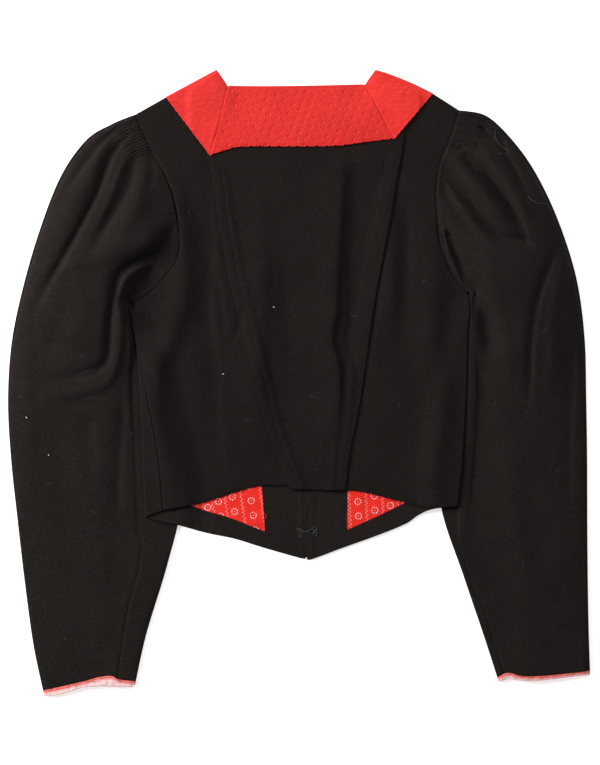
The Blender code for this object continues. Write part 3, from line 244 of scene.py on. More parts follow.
# Folds: path, width to its left and to its right as it runs, height at its crest (below nought for a trough)
SLEEVE_FOLDS_LEFT = (
    (((-195, 277), (-209, 270), (-224, 254), (-239, 234), (-253, 211)), 2.5, 5.5, -2.6),
    (((-188, 272), (-197, 260), (-206, 248), (-213, 227), (-221, 205), (-232, 182), (-245, 157), (-264, 124),
      (-279, 98), (-289, 79)), 3.2, 8.0, -5.8),
    (((-180, 249), (-184, 232), (-188, 215), (-197, 196), (-204, 184), (-216, 162), (-228, 140)),
     6.0, 9.0, -4.6),
    (((-160, 254), (-161, 228), (-168, 206)), 4.0, 6.0, -1.5),
    (((-201, 264), (-217, 250), (-230, 228), (-249, 195), (-270, 157)), 8.0, 8.0, 2.0),
    (((-185, 256), (-193, 237), (-201, 215), (-212, 188), (-228, 155)), 4.5, 5.5, 2.2),
    (((-164, 245), (-168, 223), (-177, 195), (-193, 162), (-210, 133)), 10.0, 8.0, 2.0),
    (((-129, 145), (-140, 142), (-155, 138), (-172, 132), (-186, 125), (-195, 116), (-200, 99), (-204, 78)),
     3.4, 9.0, -6.2),
    (((-131, 145), (-147, 142), (-164, 139), (-177, 133), (-189, 126), (-198, 118), (-202, 99), (-206, 78),
      (-208, 53), (-209, 34)), 1.5, 3.4, -2.2),
    (((-210, 241), (-215, 227), (-222, 205), (-234, 182), (-247, 157), (-266, 124), (-281, 99)),
     1.6, 3.2, -1.4),
    (((-200, 99), (-205, 72), (-207, 45), (-211, 23), (-224, 12), (-250, 6), (-278, 2)), 3.2, 6.5, -4.2),
    (((-190, 110), (-193, 88), (-195, 55), (-198, 28), (-207, 4), (-226, -6), (-252, -11), (-280, -15)),
     5.0, 5.5, 2.6),
    (((-135, 175), (-148, 146), (-164, 123), (-179, 105)), 20.0, 10.0, -7.5),
    (((-186, 102), (-184, 58), (-180, -2), (-176, -63)), 5.0, 6.0, 2.2),
    (((-140, 177), (-162, 157), (-188, 145), (-219, 138), (-248, 129), (-274, 120)), 9.0, 15.0, 2.6),
    (((-215, -16), (-237, -21), (-265, -26)), 5.0, 4.5, -1.8),
    (((-263, -41), (-258, -129), (-243, -239), (-232, -316)), 16.0, 13.0, -1.1),
    (((-219, -52), (-221, -129), (-215, -217), (-212, -294)), 13.0, 16.0, 1.3),
    (((-193, -13), (-194, -52), (-198, -107), (-197, -162)), 4.0, 8.0, -1.8),
    (((-232, -21), (-230, -63), (-228, -107)), 9.0, 8.0, -1.2),
    (((-296, 58), (-298, -19), (-292, -107)), 9.0, 10.0, 1.2),
    (((-252, 91), (-261, 58), (-280, 30)), 12.0, 12.0, -1.8),
)
SLEEVE_FOLDS_RIGHT = (
    (((197, 284), (207, 274), (217, 264)), 3.0, 4.0, -2.6),
    (((178, 256), (193, 243), (208, 227), (223, 207), (237, 186), (249, 160)), 3.2, 9.0, -12.5),
    (((197, 265), (212, 243), (227, 222), (242, 198), (255, 173)), 6.0, 5.0, 3.2),
    (((162, 239), (173, 222), (188, 202), (199, 186), (209, 172), (226, 160), (250, 156)), 3.1, 9.5, -11.6),
    (((158, 223), (164, 206), (174, 188), (186, 172), (201, 156)), 3.4, 7.0, -4.4),
    (((168, 243), (194, 215), (218, 184)), 6.0, 4.0, 1.5),
    (((219, 278), (229, 250), (240, 228), (251, 205)), 2.8, 5.5, -3.0),
    (((230, 267), (249, 240), (266, 209), (279, 175)), 7.0, 7.0, 1.8),
    (((287, 156), (273, 124), (262, 91), (255, 47), (254, 9), (250, -30)), 3.2, 6.5, -2.7),
    (((296, 146), (285, 113), (276, 69), (277, 25), (270, -24)), 10.0, 7.0, 2.0),
    (((301, 58), (300, 3), (297, -63), (298, -151)), 4.0, 8.0, -1.2),
    (((186, 127), (199, 91), (209, 58), (218, 20)), 9.0, 11.0, -8.0),
    (((162, 170), (167, 155), (176, 133), (186, 109)), 3.6, 6.0, -7.0),
    (((158, 173), (162, 154), (169, 133), (182, 107)), 3.4, 2.0, 3.2),
    (((200, 135), (215, 91), (223, 34), (224, -24)), 11.0, 11.0, 2.0),
    (((193, 36), (191, -10), (188, -76), (188, -151)), 14.0, 6.0, -1.6),
    (((221, -41), (234, -129), (248, -206), (252, -294)), 13.0, 15.0, 1.4),
)
BODY_FOLDS = (
    (((-142, 256), (-135, 201), (-128, 146), (-127, 102), (-138, 58), (-157, 14), (-156, -41), (-141, -105),
      (-131, -151)), 13.0, 17.0, 6.0),
    (((-102, 228), (-97, 157), (-98, 102), (-98, 58), (-91, 14), (-90, -41), (-86, -129)), 5.0, 14.0, -2.6),
    (((-43, 201), (-42, 102), (-44, 47), (-45, -8), (-38, -58)), 12.0, 18.0, 4.0),
    (((-12, 162), (-12, 91), (-11, 36), (-8, -23)), 12.0, 9.0, -1.6),
    (((45, 264), (47, 223), (44, 168), (41, 124), (40, 80), (35, 50), (43, 12), (42, -30), (37, -74),
      (32, -151)), 5.4, 20.0, 4.8),
    (((61, 264), (61, 201), (57, 135), (57, 72), (54, 50), (64, 12), (61, -30), (55, -111)),
     24.0, 4.6, -2.0),
    (((97, 206), (100, 146), (100, 91), (97, 47)), 12.0, 14.0, 2.8),
    (((119, 196), (119, 146), (119, 102), (116, 47)), 4.6, 11.0, -1.8),
    (((144, 168), (148, 102), (145, 47), (154, -19), (151, -74), (138, -151)), 15.0, 18.0, 4.8),
    (((-29, 140), (-28, 102)), 2.5, 2.5, -0.5),
    (((-91, 133), (-86, 86), (-79, 42)), 4.0, 6.0, -1.6),
    (((-62, 85), (-66, 61), (-77, 40)), 4.0, 4.0, -1.2),
    (((-164, 109), (-148, 127), (-135, 151)), 8.0, 6.0, 1.6),
    (((-182, 91), (-168, 100), (-153, 114)), 4.0, 4.0, -1.1),
)

# The same by side
SHOULDERS = {"left": LEFT_SHOULDER, "right": RIGHT_SHOULDER}
FRONTS = {"left": (LEFT_FRONT_EDGE, LEFT_FRONT_HEM), "right": (RIGHT_FRONT_EDGE, RIGHT_FRONT_HEM)}
SLEEVES = {
    "left": {"table": LEFT_SLEEVE, "cuff": LEFT_CUFF, "red": LEFT_CUFF_RED, "folds": SLEEVE_FOLDS_LEFT,
             "seam": ((-168, -129), (-176, -204), (-184, -231), (-193, -278), (-199, -326))},
    "right": {"table": RIGHT_SLEEVE, "cuff": RIGHT_CUFF, "red": RIGHT_CUFF_RED, "folds": SLEEVE_FOLDS_RIGHT,
              "seam": ((164, -138), (173, -168), (190, -219), (208, -263), (221, -307), (226, -322))},
}

# What lies on the cloth
SPECK_STEP = 0.5     # between the four bends of a speck of lint
FIBRE_STEP = 2.0     # and of a fibre
SPECK_SEED = 40
SPECKS = ((-28, 84), (-84, 10), (-299, -37), (-274, -79))
FIBRES = ((-66, 184), (139, 112), (215, -25), (-264, -235), (-240, 30), (11, -12), (63, 74), (-305, -12),
          (-271, -111), (-185, -53), (-292, 133), (19, -91), (-223, -145), (265, 58), (-122, 190),
          (246, -195), (-54, -41), (109, -21), (-252, -283), (287, -96))
LOOSE_THREAD = ((215, 278), (216, 268), (221, 261), (229, 255), (228, 251), (217, 252))
SLEEVE_THREAD = ((250, 205), (258, 198), (270, 196), (279, 188))
RED_THREAD_END = ((-38, -143), (-36, -146), (-37, -150))
HOOK_LOOPS = (((2, -162), 1.5), ((2, -167), 1.7), ((17, -160), 2.2), ((18, -165), 2.2))    # centre and radius

# The lining's print
FLOWER = 3.3     # radius of a flower's ring of dots
PETALS = 9
PRINTS = {
    "left": {"Start X": -94.6, "Start Y": -134.2, "Slope": 0.149, "Column Width": 12.5, "Widening": 1.83,
             "Row Height": 16.4, "Rise 1": 9.9, "Rise 2": 5.1, "Rise 3": 2.35, "Rise 4": 9.6},
    "right": {"Start X": 74.0, "Start Y": -134.2, "Slope": 0.052, "Column Width": 18.2, "Widening": -0.4,
              "Row Height": 15.8, "Rise 1": 3.6, "Rise 2": 14.1, "Rise 3": 9.7, "Rise 4": 9.0},
}

# Colours
WOOL_DARK = (0.0050, 0.0036, 0.0032)
WOOL_LIGHT = (0.0166, 0.0130, 0.0116)
PALER_DARK = (0.0062, 0.0045, 0.0040)
PALER_LIGHT = (0.0206, 0.0162, 0.0145)
YOKE_RED = (0.58, 0.018, 0.016)
YOKE_LIGHT = (0.76, 0.040, 0.036)
# The right yoke end's reds: the plain reds made about a seventh lighter, as painted light that offsets the
# shade on its slope
RED_WITH_PAINTED_LIGHT = (0.66, 0.020, 0.017)
PALE_RED_WITH_PAINTED_LIGHT = (0.87, 0.045, 0.037)
LINING_RED = (0.80, 0.022, 0.012)
EDGE_RED = (0.70, 0.035, 0.030)
EDGE_PINK = (0.80, 0.27, 0.25)
EDGE_PALE = (0.90, 0.56, 0.54)
EDGE_WHITE = (0.95, 0.74, 0.72)

# Light and camera
KEY_LIGHT = ((-2.0, 0.7, 1.15), 1.1, 84)    # place and size in metres, power in watts
TOP_LIGHT = ((0.4, 1.5, 1.6), 1.2, 18)
SKY = 0.2
FLOOR_GLOW = 0.6
FLOOR_SIZE = 4000
FLOOR_GAP = 0.4
PICTURE_HEIGHT = 765 * 1.1     # the photo's rows, at 1.1 mm each
CAMERA_PLACE = (1.1, 0.55, 3000.0)    # straight above the photo's middle
SENSOR = 36


# Shapes


def distances(line):
    """How far along a line each of its points is."""
    return np.concatenate([[0], np.cumsum(np.hypot(*np.diff(line, axis=0).T))])


def smooth_line(points, steps=40):
    """A smooth line through the points. A None among them marks the point before it as a sharp corner."""
    pieces = [[]]
    for point in points:
        if point is None:
            pieces.append([pieces[-1][-1]])
        else:
            pieces[-1].append(point)
    line = []
    for piece in pieces:
        p = np.array(piece, float)
        p = np.vstack([2 * p[0] - p[1], p, 2 * p[-1] - p[-2]])
        t = np.linspace(0, 1, steps, endpoint=False)[:, None]
        for a, b, c, d in zip(p[:-3], p[1:-2], p[2:-1], p[3:]):
            line.append(between(a, b, c, d, t))
        line.append(p[-2:-1])
    return np.vstack(line)


def between(a, b, c, d, t):
    """The smooth curve from b to c that comes from a and goes on to d, at t from 0 to 1."""
    return b + 0.5 * t * (c - a + t * (2 * a - 5 * b + 4 * c - d + t * (3 * (b - c) + d - a)))


def at(line, share):
    """Points at shares of the line's length, as an array whose last axis is x, y."""
    place = distances(line)
    place /= place[-1]
    share = np.asarray(share, float)
    return np.stack([np.interp(share, place, line[:, 0]), np.interp(share, place, line[:, 1])], axis=-1)


def x_at(line, y):
    """The line's x at each y, for a line that runs down."""
    order = np.argsort(line[:, 1])
    return np.interp(y, line[order, 1], line[order, 0])


def unit(ways):
    """The ways, each with length 1."""
    return ways / (np.linalg.norm(ways, axis=-1, keepdims=True) + 1e-9)


def moved_sideways(line, distance):
    """The line moved to its left, as it runs, by the distance."""
    way = unit(np.gradient(line, axis=0))
    return line + np.asarray(distance)[..., None] * np.stack([-way[:, 1], way[:, 0]], axis=1)


def ease(t):
    """From 0 to 1, softly at both ends, as t goes from 0 to 1. (a - y) / b starts at y = a, over b mm."""
    t = np.clip(t, 0, 1)
    return t * t * (3 - 2 * t)


def bell(distance, width):
    """1 where the distance is nought, about a third at the width, and nothing far away. The number before a
    bell is its height in mm: a ridge above nought and a groove below it."""
    return np.exp(-((distance / width) ** 2))


def nearest(x, y, line):
    """Distance from each point to a line, its side (above nought on the left) and the share of the line."""
    best = np.full(np.shape(x), 1e9)
    side = np.zeros(np.shape(x))
    along = np.zeros(np.shape(x))
    total = len(line) - 1
    for k in range(total):
        a, b = line[k], line[k + 1]
        way = b - a
        t = np.clip(((x - a[0]) * way[0] + (y - a[1]) * way[1]) / (way.dot(way) + 1e-9), 0, 1)
        gap = np.hypot(x - a[0] - t * way[0], y - a[1] - t * way[1])
        near = gap < best
        best = np.where(near, gap, best)
        side = np.where(near, way[0] * (y - a[1]) - way[1] * (x - a[0]), side)
        along = np.where(near, (k + t) / total, along)
    return best, side, along


def fold_height(x, y, table):
    """Height that a table of folds adds at each x, y."""
    height = np.zeros(np.shape(x))
    for path, left_width, right_width, rise in table:
        best, side, along = nearest(x, y, smooth_line(path, 5))
        width = np.where(side > 0, left_width, right_width)
        ends = ease(along / 0.22) * ease((1 - along) / 0.3)
        height += rise * bell(best, width) * (0.25 + 0.75 * ends) * ease(4 - best / width)
    return height


def uneven(x, y, size, seed):
    """Smooth irregular height between about -1 and 1, in swells about as long as the size."""
    turn = np.random.default_rng(seed)
    height = np.zeros(np.shape(x))
    for _ in range(9):
        angle = turn.uniform(0, math.tau)
        step = math.tau / (size * turn.uniform(0.7, 1.6))
        shift = turn.uniform(0, math.tau)
        bend = turn.uniform(-0.6, 0.6)
        across = x * math.cos(angle) + y * math.sin(angle)
        beside = y * math.cos(angle) - x * math.sin(angle)
        height += np.sin(across * step + shift + bend * np.sin(beside * step * 0.6 + shift * 2))
    return height / 4.2


LINES = {name: smooth_line(points) for name, points in {
    "left_armhole": LEFT_ARMHOLE, "right_armhole": RIGHT_ARMHOLE, "left_fold": LEFT_FOLD,
    "right_fold": RIGHT_FOLD, "left_side_seam": LEFT_SIDE_SEAM, "left_lap": LEFT_LAP, "right_lap": RIGHT_LAP,
    "left_sleeve_inside": [row[2:4] for row in LEFT_SLEEVE],
    "right_sleeve_inside": [row[2:4] for row in RIGHT_SLEEVE],
}.items()}


def lift(x, y):
    """How far the sleeves that lie under its sides hold the body up."""
    left = ease((x_at(LINES["left_sleeve_inside"], y) + 2 + LIFT_RAMP - x) / LIFT_RAMP)
    right = ease((x - x_at(LINES["right_sleeve_inside"], y) + 2 + LIFT_RAMP) / LIFT_RAMP)
    left *= ease((LIFT_START["left"] - y) / LIFT_RUN)
    right *= ease((LIFT_START["right"] - y) / LIFT_RUN)
    return LIFT * np.where(x < 0, left, right)


def from_laps(x, y):
    """Distances from the middle panel's left and right edges, above nought inside it."""
    return x - x_at(LINES["left_lap"], y), x_at(LINES["right_lap"], y) - x


def lap(x, y, beyond=False):
    """How far the middle panel is raised, from 0 to 1: where it laps over the side panels, and near the yoke.
    With beyond, the same for the yoke, which comes down again outside those edges."""
    closest = np.minimum(*from_laps(x, y))
    inside = np.maximum(ease((LAP_WIDTH + LAP_FADE - closest) / LAP_FADE),
                        ease((y - YOKE_RISE_START) / YOKE_RISE_RUN))
    if beyond:
        return np.where(closest < 0, ease((LAP_WIDTH + LAP_FADE + closest) / LAP_FADE), inside)
    return inside


def back_top(x, y):
    """Height of the back's outer face with its folds, without the laps. It is calm under the yoke."""
    calm = ease((257 - y) / 30)
    swell = 0.42 * uneven(x, y, 75, 3) + 0.15 * uneven(x, y, 26, 5)
    relief = fold_height(x, y, BODY_FOLDS) + swell * calm
    relief = np.where(relief < 0, relief * (0.15 + 0.85 * ease((y + 112) / 45)), relief)
    return lift(x, y) + BODY_HEIGHT + calm * np.maximum(relief, -DEEPEST)


def middle_top(x, y):
    """Height of the middle panel's outer face: raised where it laps, drawn down along its topstitching."""
    left, right = from_laps(x, y)
    shown = ease((258 - y) / 6)
    rows = -0.42 * bell(left - LEFT_STITCH, 1.5)
    for row in RIGHT_STITCH:
        rows -= 0.34 * bell(right - row, 1.1)
    edges = 0.30 * bell(left - 5.0, 4.0) + 0.30 * bell(right - 6.0, 4.5)
    pucker = np.sin(y / 1.35 + 1.5 * np.sin(y / 9.0)) * 0.5 + np.sin(y / 2.3) * 0.5
    pucker *= 0.10 * (bell(left - LEFT_STITCH, 4) + bell(right - RIGHT_STITCH[0], 5))
    return back_top(x, y) + LAP_RISE * lap(x, y) + shown * (rows + edges + pucker)


def side_top(x, y, side):
    """Height of a side panel's outer face, drawn down beside the middle panel's edge and at the armhole."""
    left, right = from_laps(x, y)
    gap = -left if side == "left" else -right
    depth, width = HOLLOW[side]
    along = ease((262 - y) / 20) * (0.3 + 0.7 * ease((y - 20) / 60))
    armhole_gap = nearest(x, y, LINES[f"{side}_armhole"][::5])[0]
    return back_top(x, y) - depth * bell(gap, width) * along - 0.5 * bell(armhole_gap, 1.3)


def yoke_base(x, y):
    """Height of the yoke's underside: on the back at its lower edge, sagging to the surface at the neck."""
    middle = ease((NECK_HALF_WIDTH - abs(x)) / NECK_FADE)
    sag = NECK_SAG * ease((y - NECK_SAG_START) / NECK_SAG_RUN) * middle
    return lift(x, y) + BODY_HEIGHT + SEAM + LAP_RISE * lap(x, y, beyond=True) - sag


def raised(grid, height):
    """The grid's x, y points with their heights."""
    return np.concatenate([grid, np.asarray(height)[..., None]], axis=-1)


def patch(left, right, top, bottom, u, v):
    """Points inside four lines: u runs from left to right and v from top to bottom."""
    u, v = np.asarray(u)[..., None], np.asarray(v)[..., None]
    a, b = at(left, v[..., 0]), at(right, v[..., 0])
    c, d = at(top, u[..., 0]), at(bottom, u[..., 0])
    corners = ((1 - u) * (1 - v) * at(top, 0) + u * (1 - v) * at(top, 1)
               + (1 - u) * v * at(bottom, 0) + u * v * at(bottom, 1))
    return (1 - u) * a + u * b + (1 - v) * c + v * d - corners


def turned(distance, height):
    """How far a face has turned down at a distance from a folded edge of this height."""
    radius = height / 2
    reach = np.clip(1 - distance / radius, 0, 1)
    return radius - radius * np.sqrt(1 - reach ** 2)


def close_ends(count, first=True, last=True):
    """Shares from 0 to 1 that lie closer together at one end or at both."""
    t = np.linspace(0, 1, count)
    if first and last:
        return 0.5 - 0.5 * np.cos(math.pi * t)
    return 1 - np.cos(math.pi / 2 * t) if first else np.sin(math.pi / 2 * t)


# Meshes


def add_mesh(name, points, faces, finish):
    """An object in the scene from points in mm and faces, shaded smooth."""
    data = bpy.data.meshes.new(name)
    data.from_pydata((np.asarray(points) * MM).tolist(), [], faces)
    data.materials.append(finish)
    mesh = bmesh.new()
    mesh.from_mesh(data)
    bmesh.ops.recalc_face_normals(mesh, faces=mesh.faces[:])
    mesh.to_mesh(data)
    mesh.free()
    data.shade_smooth()
    made = bpy.data.objects.new(name, data)
    bpy.context.scene.collection.objects.link(made)
    return made


def grid_faces(rows, columns, start=0, closed=False):
    """Quads between neighbouring points of a grid; closed joins its last column to its first."""
    number = start + np.arange(rows * columns).reshape(rows, columns)
    if closed:
        number = np.hstack([number, number[:, :1]])
    quads = np.stack([number[:-1, :-1], number[:-1, 1:], number[1:, 1:], number[1:, :-1]], axis=-1)
    return quads.reshape(-1, 4).tolist()


def border(rows, columns):
    """The numbers of a grid's border points, in order round it."""
    number = np.arange(rows * columns).reshape(rows, columns)
    return np.concatenate([number[0, :-1], number[:-1, -1], number[-1, :0:-1], number[:0:-1, 0]])


def cloth(name, outer, thickness, finish, faces_up=True, every=1):
    """A closed sheet of cloth under a grid of points on its outer face, with rounded edges. The hidden inner
    face keeps only every so many points."""
    rows, columns = outer.shape[:2]
    normal = unit(np.cross(np.gradient(outer, axis=1), np.gradient(outer, axis=0)))
    if (normal[..., 2].mean() > 0) != faces_up:
        normal = -normal
    inner = outer - normal * thickness
    small = inner[::every, ::every]
    count, small_count = rows * columns, small.shape[0] * small.shape[1]
    loop = border(rows, columns)
    small_loop = count + border(*small.shape[:2])
    inwards = outer[np.clip(np.arange(rows), 1, rows - 2)][:, np.clip(np.arange(columns), 1, columns - 2)]
    outwards = unit((outer - inwards).reshape(-1, 3)[loop])
    outer_rim, inner_rim = outer.reshape(-1, 3)[loop], inner.reshape(-1, 3)[loop]
    rims = []
    for depth, reach in EDGE_RINGS:
        rims.append(outer_rim * (1 - depth) + inner_rim * depth + outwards * thickness * EDGE_ROLL * reach)
    faces = grid_faces(rows, columns) + grid_faces(*small.shape[:2], count)
    rings = [loop] + [count + small_count + k * len(loop) + np.arange(len(loop)) for k in range(len(rims))]
    for first, second in zip(rings, rings[1:]):
        faces += np.stack([first, np.roll(first, -1), np.roll(second, -1), second], axis=1).tolist()
    last = rings[-1]
    for k, corner in enumerate(small_loop):
        edge = [last[(k * every + j) % len(last)] for j in range(every + 1)]
        faces.append(edge + [small_loop[(k + 1) % len(small_loop)], corner])
    points = np.vstack([outer.reshape(-1, 3), small.reshape(-1, 3), *rims])
    return add_mesh(name, points, faces, finish)


def tube(name, outer, inner, finish, every=4):
    """A closed wall between two rings of points for each section. The inner one keeps only every so many."""
    rows, columns = outer.shape[:2]
    small = inner[::every, ::every]
    small_rows, small_columns = small.shape[:2]
    count = rows * columns
    points = np.vstack([outer.reshape(-1, 3), small.reshape(-1, 3)])
    faces = grid_faces(rows, columns, 0, True) + grid_faces(small_rows, small_columns, count, True)
    for outer_row, inner_row in ((0, 0), (rows - 1, small_rows - 1)):
        for k in range(small_columns):
            edge = [outer_row * columns + (k * every + j) % columns for j in range(every + 1)]
            back = [count + inner_row * small_columns + (k + j) % small_columns for j in (1, 0)]
            faces.append(edge + back)
    return add_mesh(name, points, faces, finish)


def rod_faces(first, rings):
    """Faces of a closed rod, whose rings of points start at this number."""
    last = first + (rings - 1) * THREAD_SIDES
    sides = grid_faces(rings, THREAD_SIDES, first, True)
    return sides + [list(range(start, start + THREAD_SIDES)) for start in (first, last)]


def stitches(name, rows, finish):
    """Sewing thread in short stitches along rows of x, y, z points that lie on the cloth."""
    points, faces = [], []
    section = np.linspace(0, math.tau, THREAD_SIDES, endpoint=False)
    for row in rows:
        place = np.concatenate([[0], np.cumsum(np.linalg.norm(np.diff(row, axis=0), axis=1))])
        for start in np.arange(STITCH_GAP, place[-1] - STITCH_LENGTH, STITCH_LENGTH + STITCH_GAP):
            share = start + STITCH_LENGTH * np.array(STITCH_PLACES)
            middle = np.stack([np.interp(share, place, row[:, k]) for k in range(3)], axis=1)
            across = unit(np.cross(unit(middle[-1] - middle[0]), (0, 0, 1.0)))
            faces += rod_faces(len(points), len(middle))
            for centre, part in zip(middle, STITCH_SIZES):
                for angle in section:
                    up = math.sin(angle) * STITCH_RISE * part + 0.02 - (1 - part) * STITCH_SINK
                    points.append(centre + across * math.cos(angle) * STITCH_WIDTH / 2 * part
                                  + np.array((0, 0, up)))
    return add_mesh(name, points, faces, finish)


def thread(name, paths, radius, finish):
    """Smooth threads or fibres through paths of points, as one mesh with closed ends."""
    points, faces = [], []
    section = np.linspace(0, math.tau, THREAD_SIDES, endpoint=False)
    for path in paths:
        way = unit(np.gradient(path, axis=0))
        across = unit(np.cross(way, (0.05, 0.03, 1.0)))
        upright = np.cross(across, way)
        taper = np.ones(len(path))
        taper[[0, -1]] = THREAD_END
        faces += rod_faces(len(points), len(path))
        for centre, a, b, part in zip(path, across, upright, taper):
            for angle in section:
                points.append(centre + (a * math.cos(angle) + b * math.sin(angle)) * radius * part)
    return add_mesh(name, points, faces, finish)


# Body


def panel_plan(r, u, armhole, side, line, corners, arm_part, side_shares, bottom, arm_end=1.0):
    """x, y of a panel at rows r, numbered as the stations down a side, and shares u from that side across."""
    arm = np.minimum(np.interp(r, range(13), ARM_STATIONS), arm_end)
    low = np.interp(r, range(12, 20), (0.0, *SIDE_STATIONS))
    outer = np.where((r <= 12)[..., None], at(armhole, arm), at(side, low))
    known = [ARM_STATIONS[k] for k in (0, *corners, 12)]
    upper = np.interp(np.interp(r, range(13), ARM_STATIONS), known, (0.0, *corners.values(), arm_part))
    share = np.where(r <= 12, upper, np.interp(r, range(12, 20), (arm_part, *side_shares)))
    inner = at(line, share)
    part = u[..., None]
    wave = at(bottom, u) - (1 - part) * at(bottom, 0) - part * at(bottom, 1)
    return (1 - part) * outer + part * inner + ease((r - 13) / 6)[..., None] * wave


def panel_rows(arm_count, side_count):
    """Row numbers down a side: closer along the armhole's first part, even below it."""
    arm = np.interp(np.linspace(0.03, 1, arm_count), ARM_STATIONS, range(13))
    side = np.interp(np.linspace(0, 1, side_count + 1)[1:], (0.0, *SIDE_STATIONS), range(12, 20))
    return np.concatenate([[0.0], arm, side])


def panel_widths(shape, rows):
    """The width of a panel at each of the rows."""
    ends = [panel_plan(rows, np.full(len(rows), float(end)), *shape) for end in (0, 1)]
    return np.hypot(*(ends[1] - ends[0]).T)


def panel_grid(shape, rows, near, count):
    """A panel's plan and the row number of each point. The shoulder fold's rows take the place of the first.
    The points lie near the side's fold as asked, then closer together at both ends of the rest."""
    widths = np.maximum(panel_widths(shape, rows), NARROWEST)
    start = near[-1] / widths[:, None]
    first = np.array(near)[None, :] / widths[:, None]
    u = np.hstack([first, start + (1 - start) * close_ends(count + 1)[None, 1:]])
    r = rows[:, None] * np.ones(u.shape[1])
    plan = panel_plan(r, u, *shape)
    way = unit(plan[1] - plan[0])
    edge = fold_places(BODY_HEIGHT)
    plan = np.concatenate([[plan[0] + way * distance for distance in edge], plan[1:]])
    return plan, np.vstack([np.zeros((len(edge) - 1, u.shape[1])), r])


def fold_places(height, first_angle=6.0, count=7):
    """Distances from a folded edge at which its round turn has points."""
    return height / 2 * (1 - np.cos(np.radians(np.linspace(first_angle, 90, count))))


def shoulder_gap(x, y, side):
    """Distance from the straight shoulder fold."""
    (ax, ay), (bx, by) = SHOULDERS[side]
    return abs((bx - ax) * (y - ay) - (by - ay) * (x - ax)) / math.hypot(bx - ax, by - ay)


def tucked(line, distance):
    """The line moved sideways by a distance that grows over its first part."""
    share = np.linspace(0, 1, 240)
    return moved_sideways(at(line, share), distance * ease(share * distances(line)[-1] / TUCK_RUN))


def fold_part(r):
    """How far the side's fold has turned at each row, from the armhole's cut edge to the full fold below."""
    return np.interp(r, (11, 12, 12.6, 13), (0, ARM_END_TURN, 0.8, 1))


def build_back(wool):
    """The middle panel of the back."""
    left = moved_sideways(LINES["left_lap"], SEAM / 2)
    right = moved_sideways(LINES["right_lap"], -SEAM / 2)
    v = np.linspace(0, 1, BACK_ROWS)
    even = np.linspace(0, 1, BACK_POINTS)[1:-1]
    u = []
    for width in np.hypot(*(at(right, v) - at(left, v)).T):
        flap = min(LAP_WIDTH + LAP_FADE, width * FLAP_SHARE) / width
        near = flap * close_ends(LAP_POINTS, last=False)
        u.append(np.concatenate([near, flap + (1 - 2 * flap) * even, 1 - near[::-1]]))
    top, bottom = smooth_line(BACK_TOP), smooth_line(CENTRE_HEM)
    plan = patch(left, right, top, bottom, np.array(u), v[:, None] * np.ones(len(u[0])))
    x, y = np.moveaxis(plan, -1, 0)
    return cloth("back_centre_cloth", raised(plan, middle_top(x, y)), WOOL, wool, every=2)


def build_back_side(side, wool):
    """A side panel of the back, from the shoulder and armhole to where it goes under the middle panel."""
    if side == "left":
        line = (LEFT_SHOULDER[1], (-104, 258), None, *LEFT_LAP[1:])
        under = tucked(smooth_line(line), TUCK)
        outer, hem, arm_end, near = LINES["left_side_seam"], smooth_line(SIDE_HEM_LEFT), 0.985, (0.15,)
    else:
        line = (RIGHT_SHOULDER[1], (119, 284), None, (112.5, 250), *RIGHT_LAP[2:])
        under = tucked(smooth_line(line), -TUCK)
        outer, hem, arm_end = LINES["right_fold"], smooth_line(SIDE_HEM_RIGHT)[::-1], 1.0
        near = fold_places(BODY_HEIGHT)
    shape = (LINES[f"{side}_armhole"], outer, under, {}, 0.52, SIDE_PARTS, hem, arm_end)
    plan, r = panel_grid(shape, panel_rows(*BACK_SIDE_ROWS), near, BACK_SIDE_POINTS - len(near))
    x, y = np.moveaxis(plan, -1, 0)
    drop = turned(shoulder_gap(x, y, side), BODY_HEIGHT)
    if side == "right":
        drop = np.maximum(drop, fold_part(r) * turned(x_at(outer, y) - x, BODY_HEIGHT))
    else:
        drop = drop + 0.45 * ease((10 - y) / 30) * bell(x - x_at(outer, y), 0.9)
    return cloth(f"back_side_{side}_cloth", raised(plan, side_top(x, y, side) - drop), WOOL, wool)


def front_shape(side):
    """What panel_plan needs for a front, whose inner line has three corners."""
    edge, hem = FRONTS[side]
    line = smooth_line(edge)
    step = distances(line)
    corners = [step[np.argmin(np.hypot(*(line - np.array(edge[k])).T))] / step[-1] for k in (1, 3, 5)]
    return (LINES[f"{side}_armhole"], LINES[f"{side}_fold"], line, dict(zip((2, 4, 11), corners)),
            1 - UNDERARM_ROW / step[-1], 1 - np.array(FRONT_ROWS) / step[-1], smooth_line(hem))


def build_front(side, wool):
    """A front, face down on the surface."""
    rows = np.unique(np.concatenate([panel_rows(*FRONT_SIDE_ROWS), (2, 4, 11)]))
    near = fold_places(BODY_HEIGHT, 0.0 if side == "left" else 6.0)
    plan, r = panel_grid(front_shape(side), rows, near, FRONT_POINTS)
    x, y = np.moveaxis(plan, -1, 0)
    from_fold = abs(x - x_at(LINES[f"{side}_fold"], y))
    up = turned(shoulder_gap(x, y, side), BODY_HEIGHT)
    up = np.maximum(up, fold_part(r) * turned(from_fold, BODY_HEIGHT))
    swell = np.clip(0.35 * (1 + uneven(x, y, 60, 21)) * ease(np.minimum(from_fold, 30) / 30), 0, 0.9)
    outer = raised(plan, lift(x, y) + up + swell * ease((r - 2) / 3) * ease((15.5 - r) / 1.5))
    corner_x, corner_y = (LEFT_FOLD if side == "left" else RIGHT_FOLD)[0]
    near_corner = bell(np.hypot(x - corner_x, y - corner_y), UNDERARM_REACH)[..., None]
    outward = -0.9 if side == "left" else 0.9
    outer += near_corner * (UNDERARM_REACH * np.array((outward, 0.3, 0)) + (0, 0, 0.4))
    made = cloth(f"front_{side}_cloth", outer, WOOL, wool, faces_up=False)
    for vertex in made.data.vertices:
        vertex.co.z = max(vertex.co.z, 0.0)
    return made


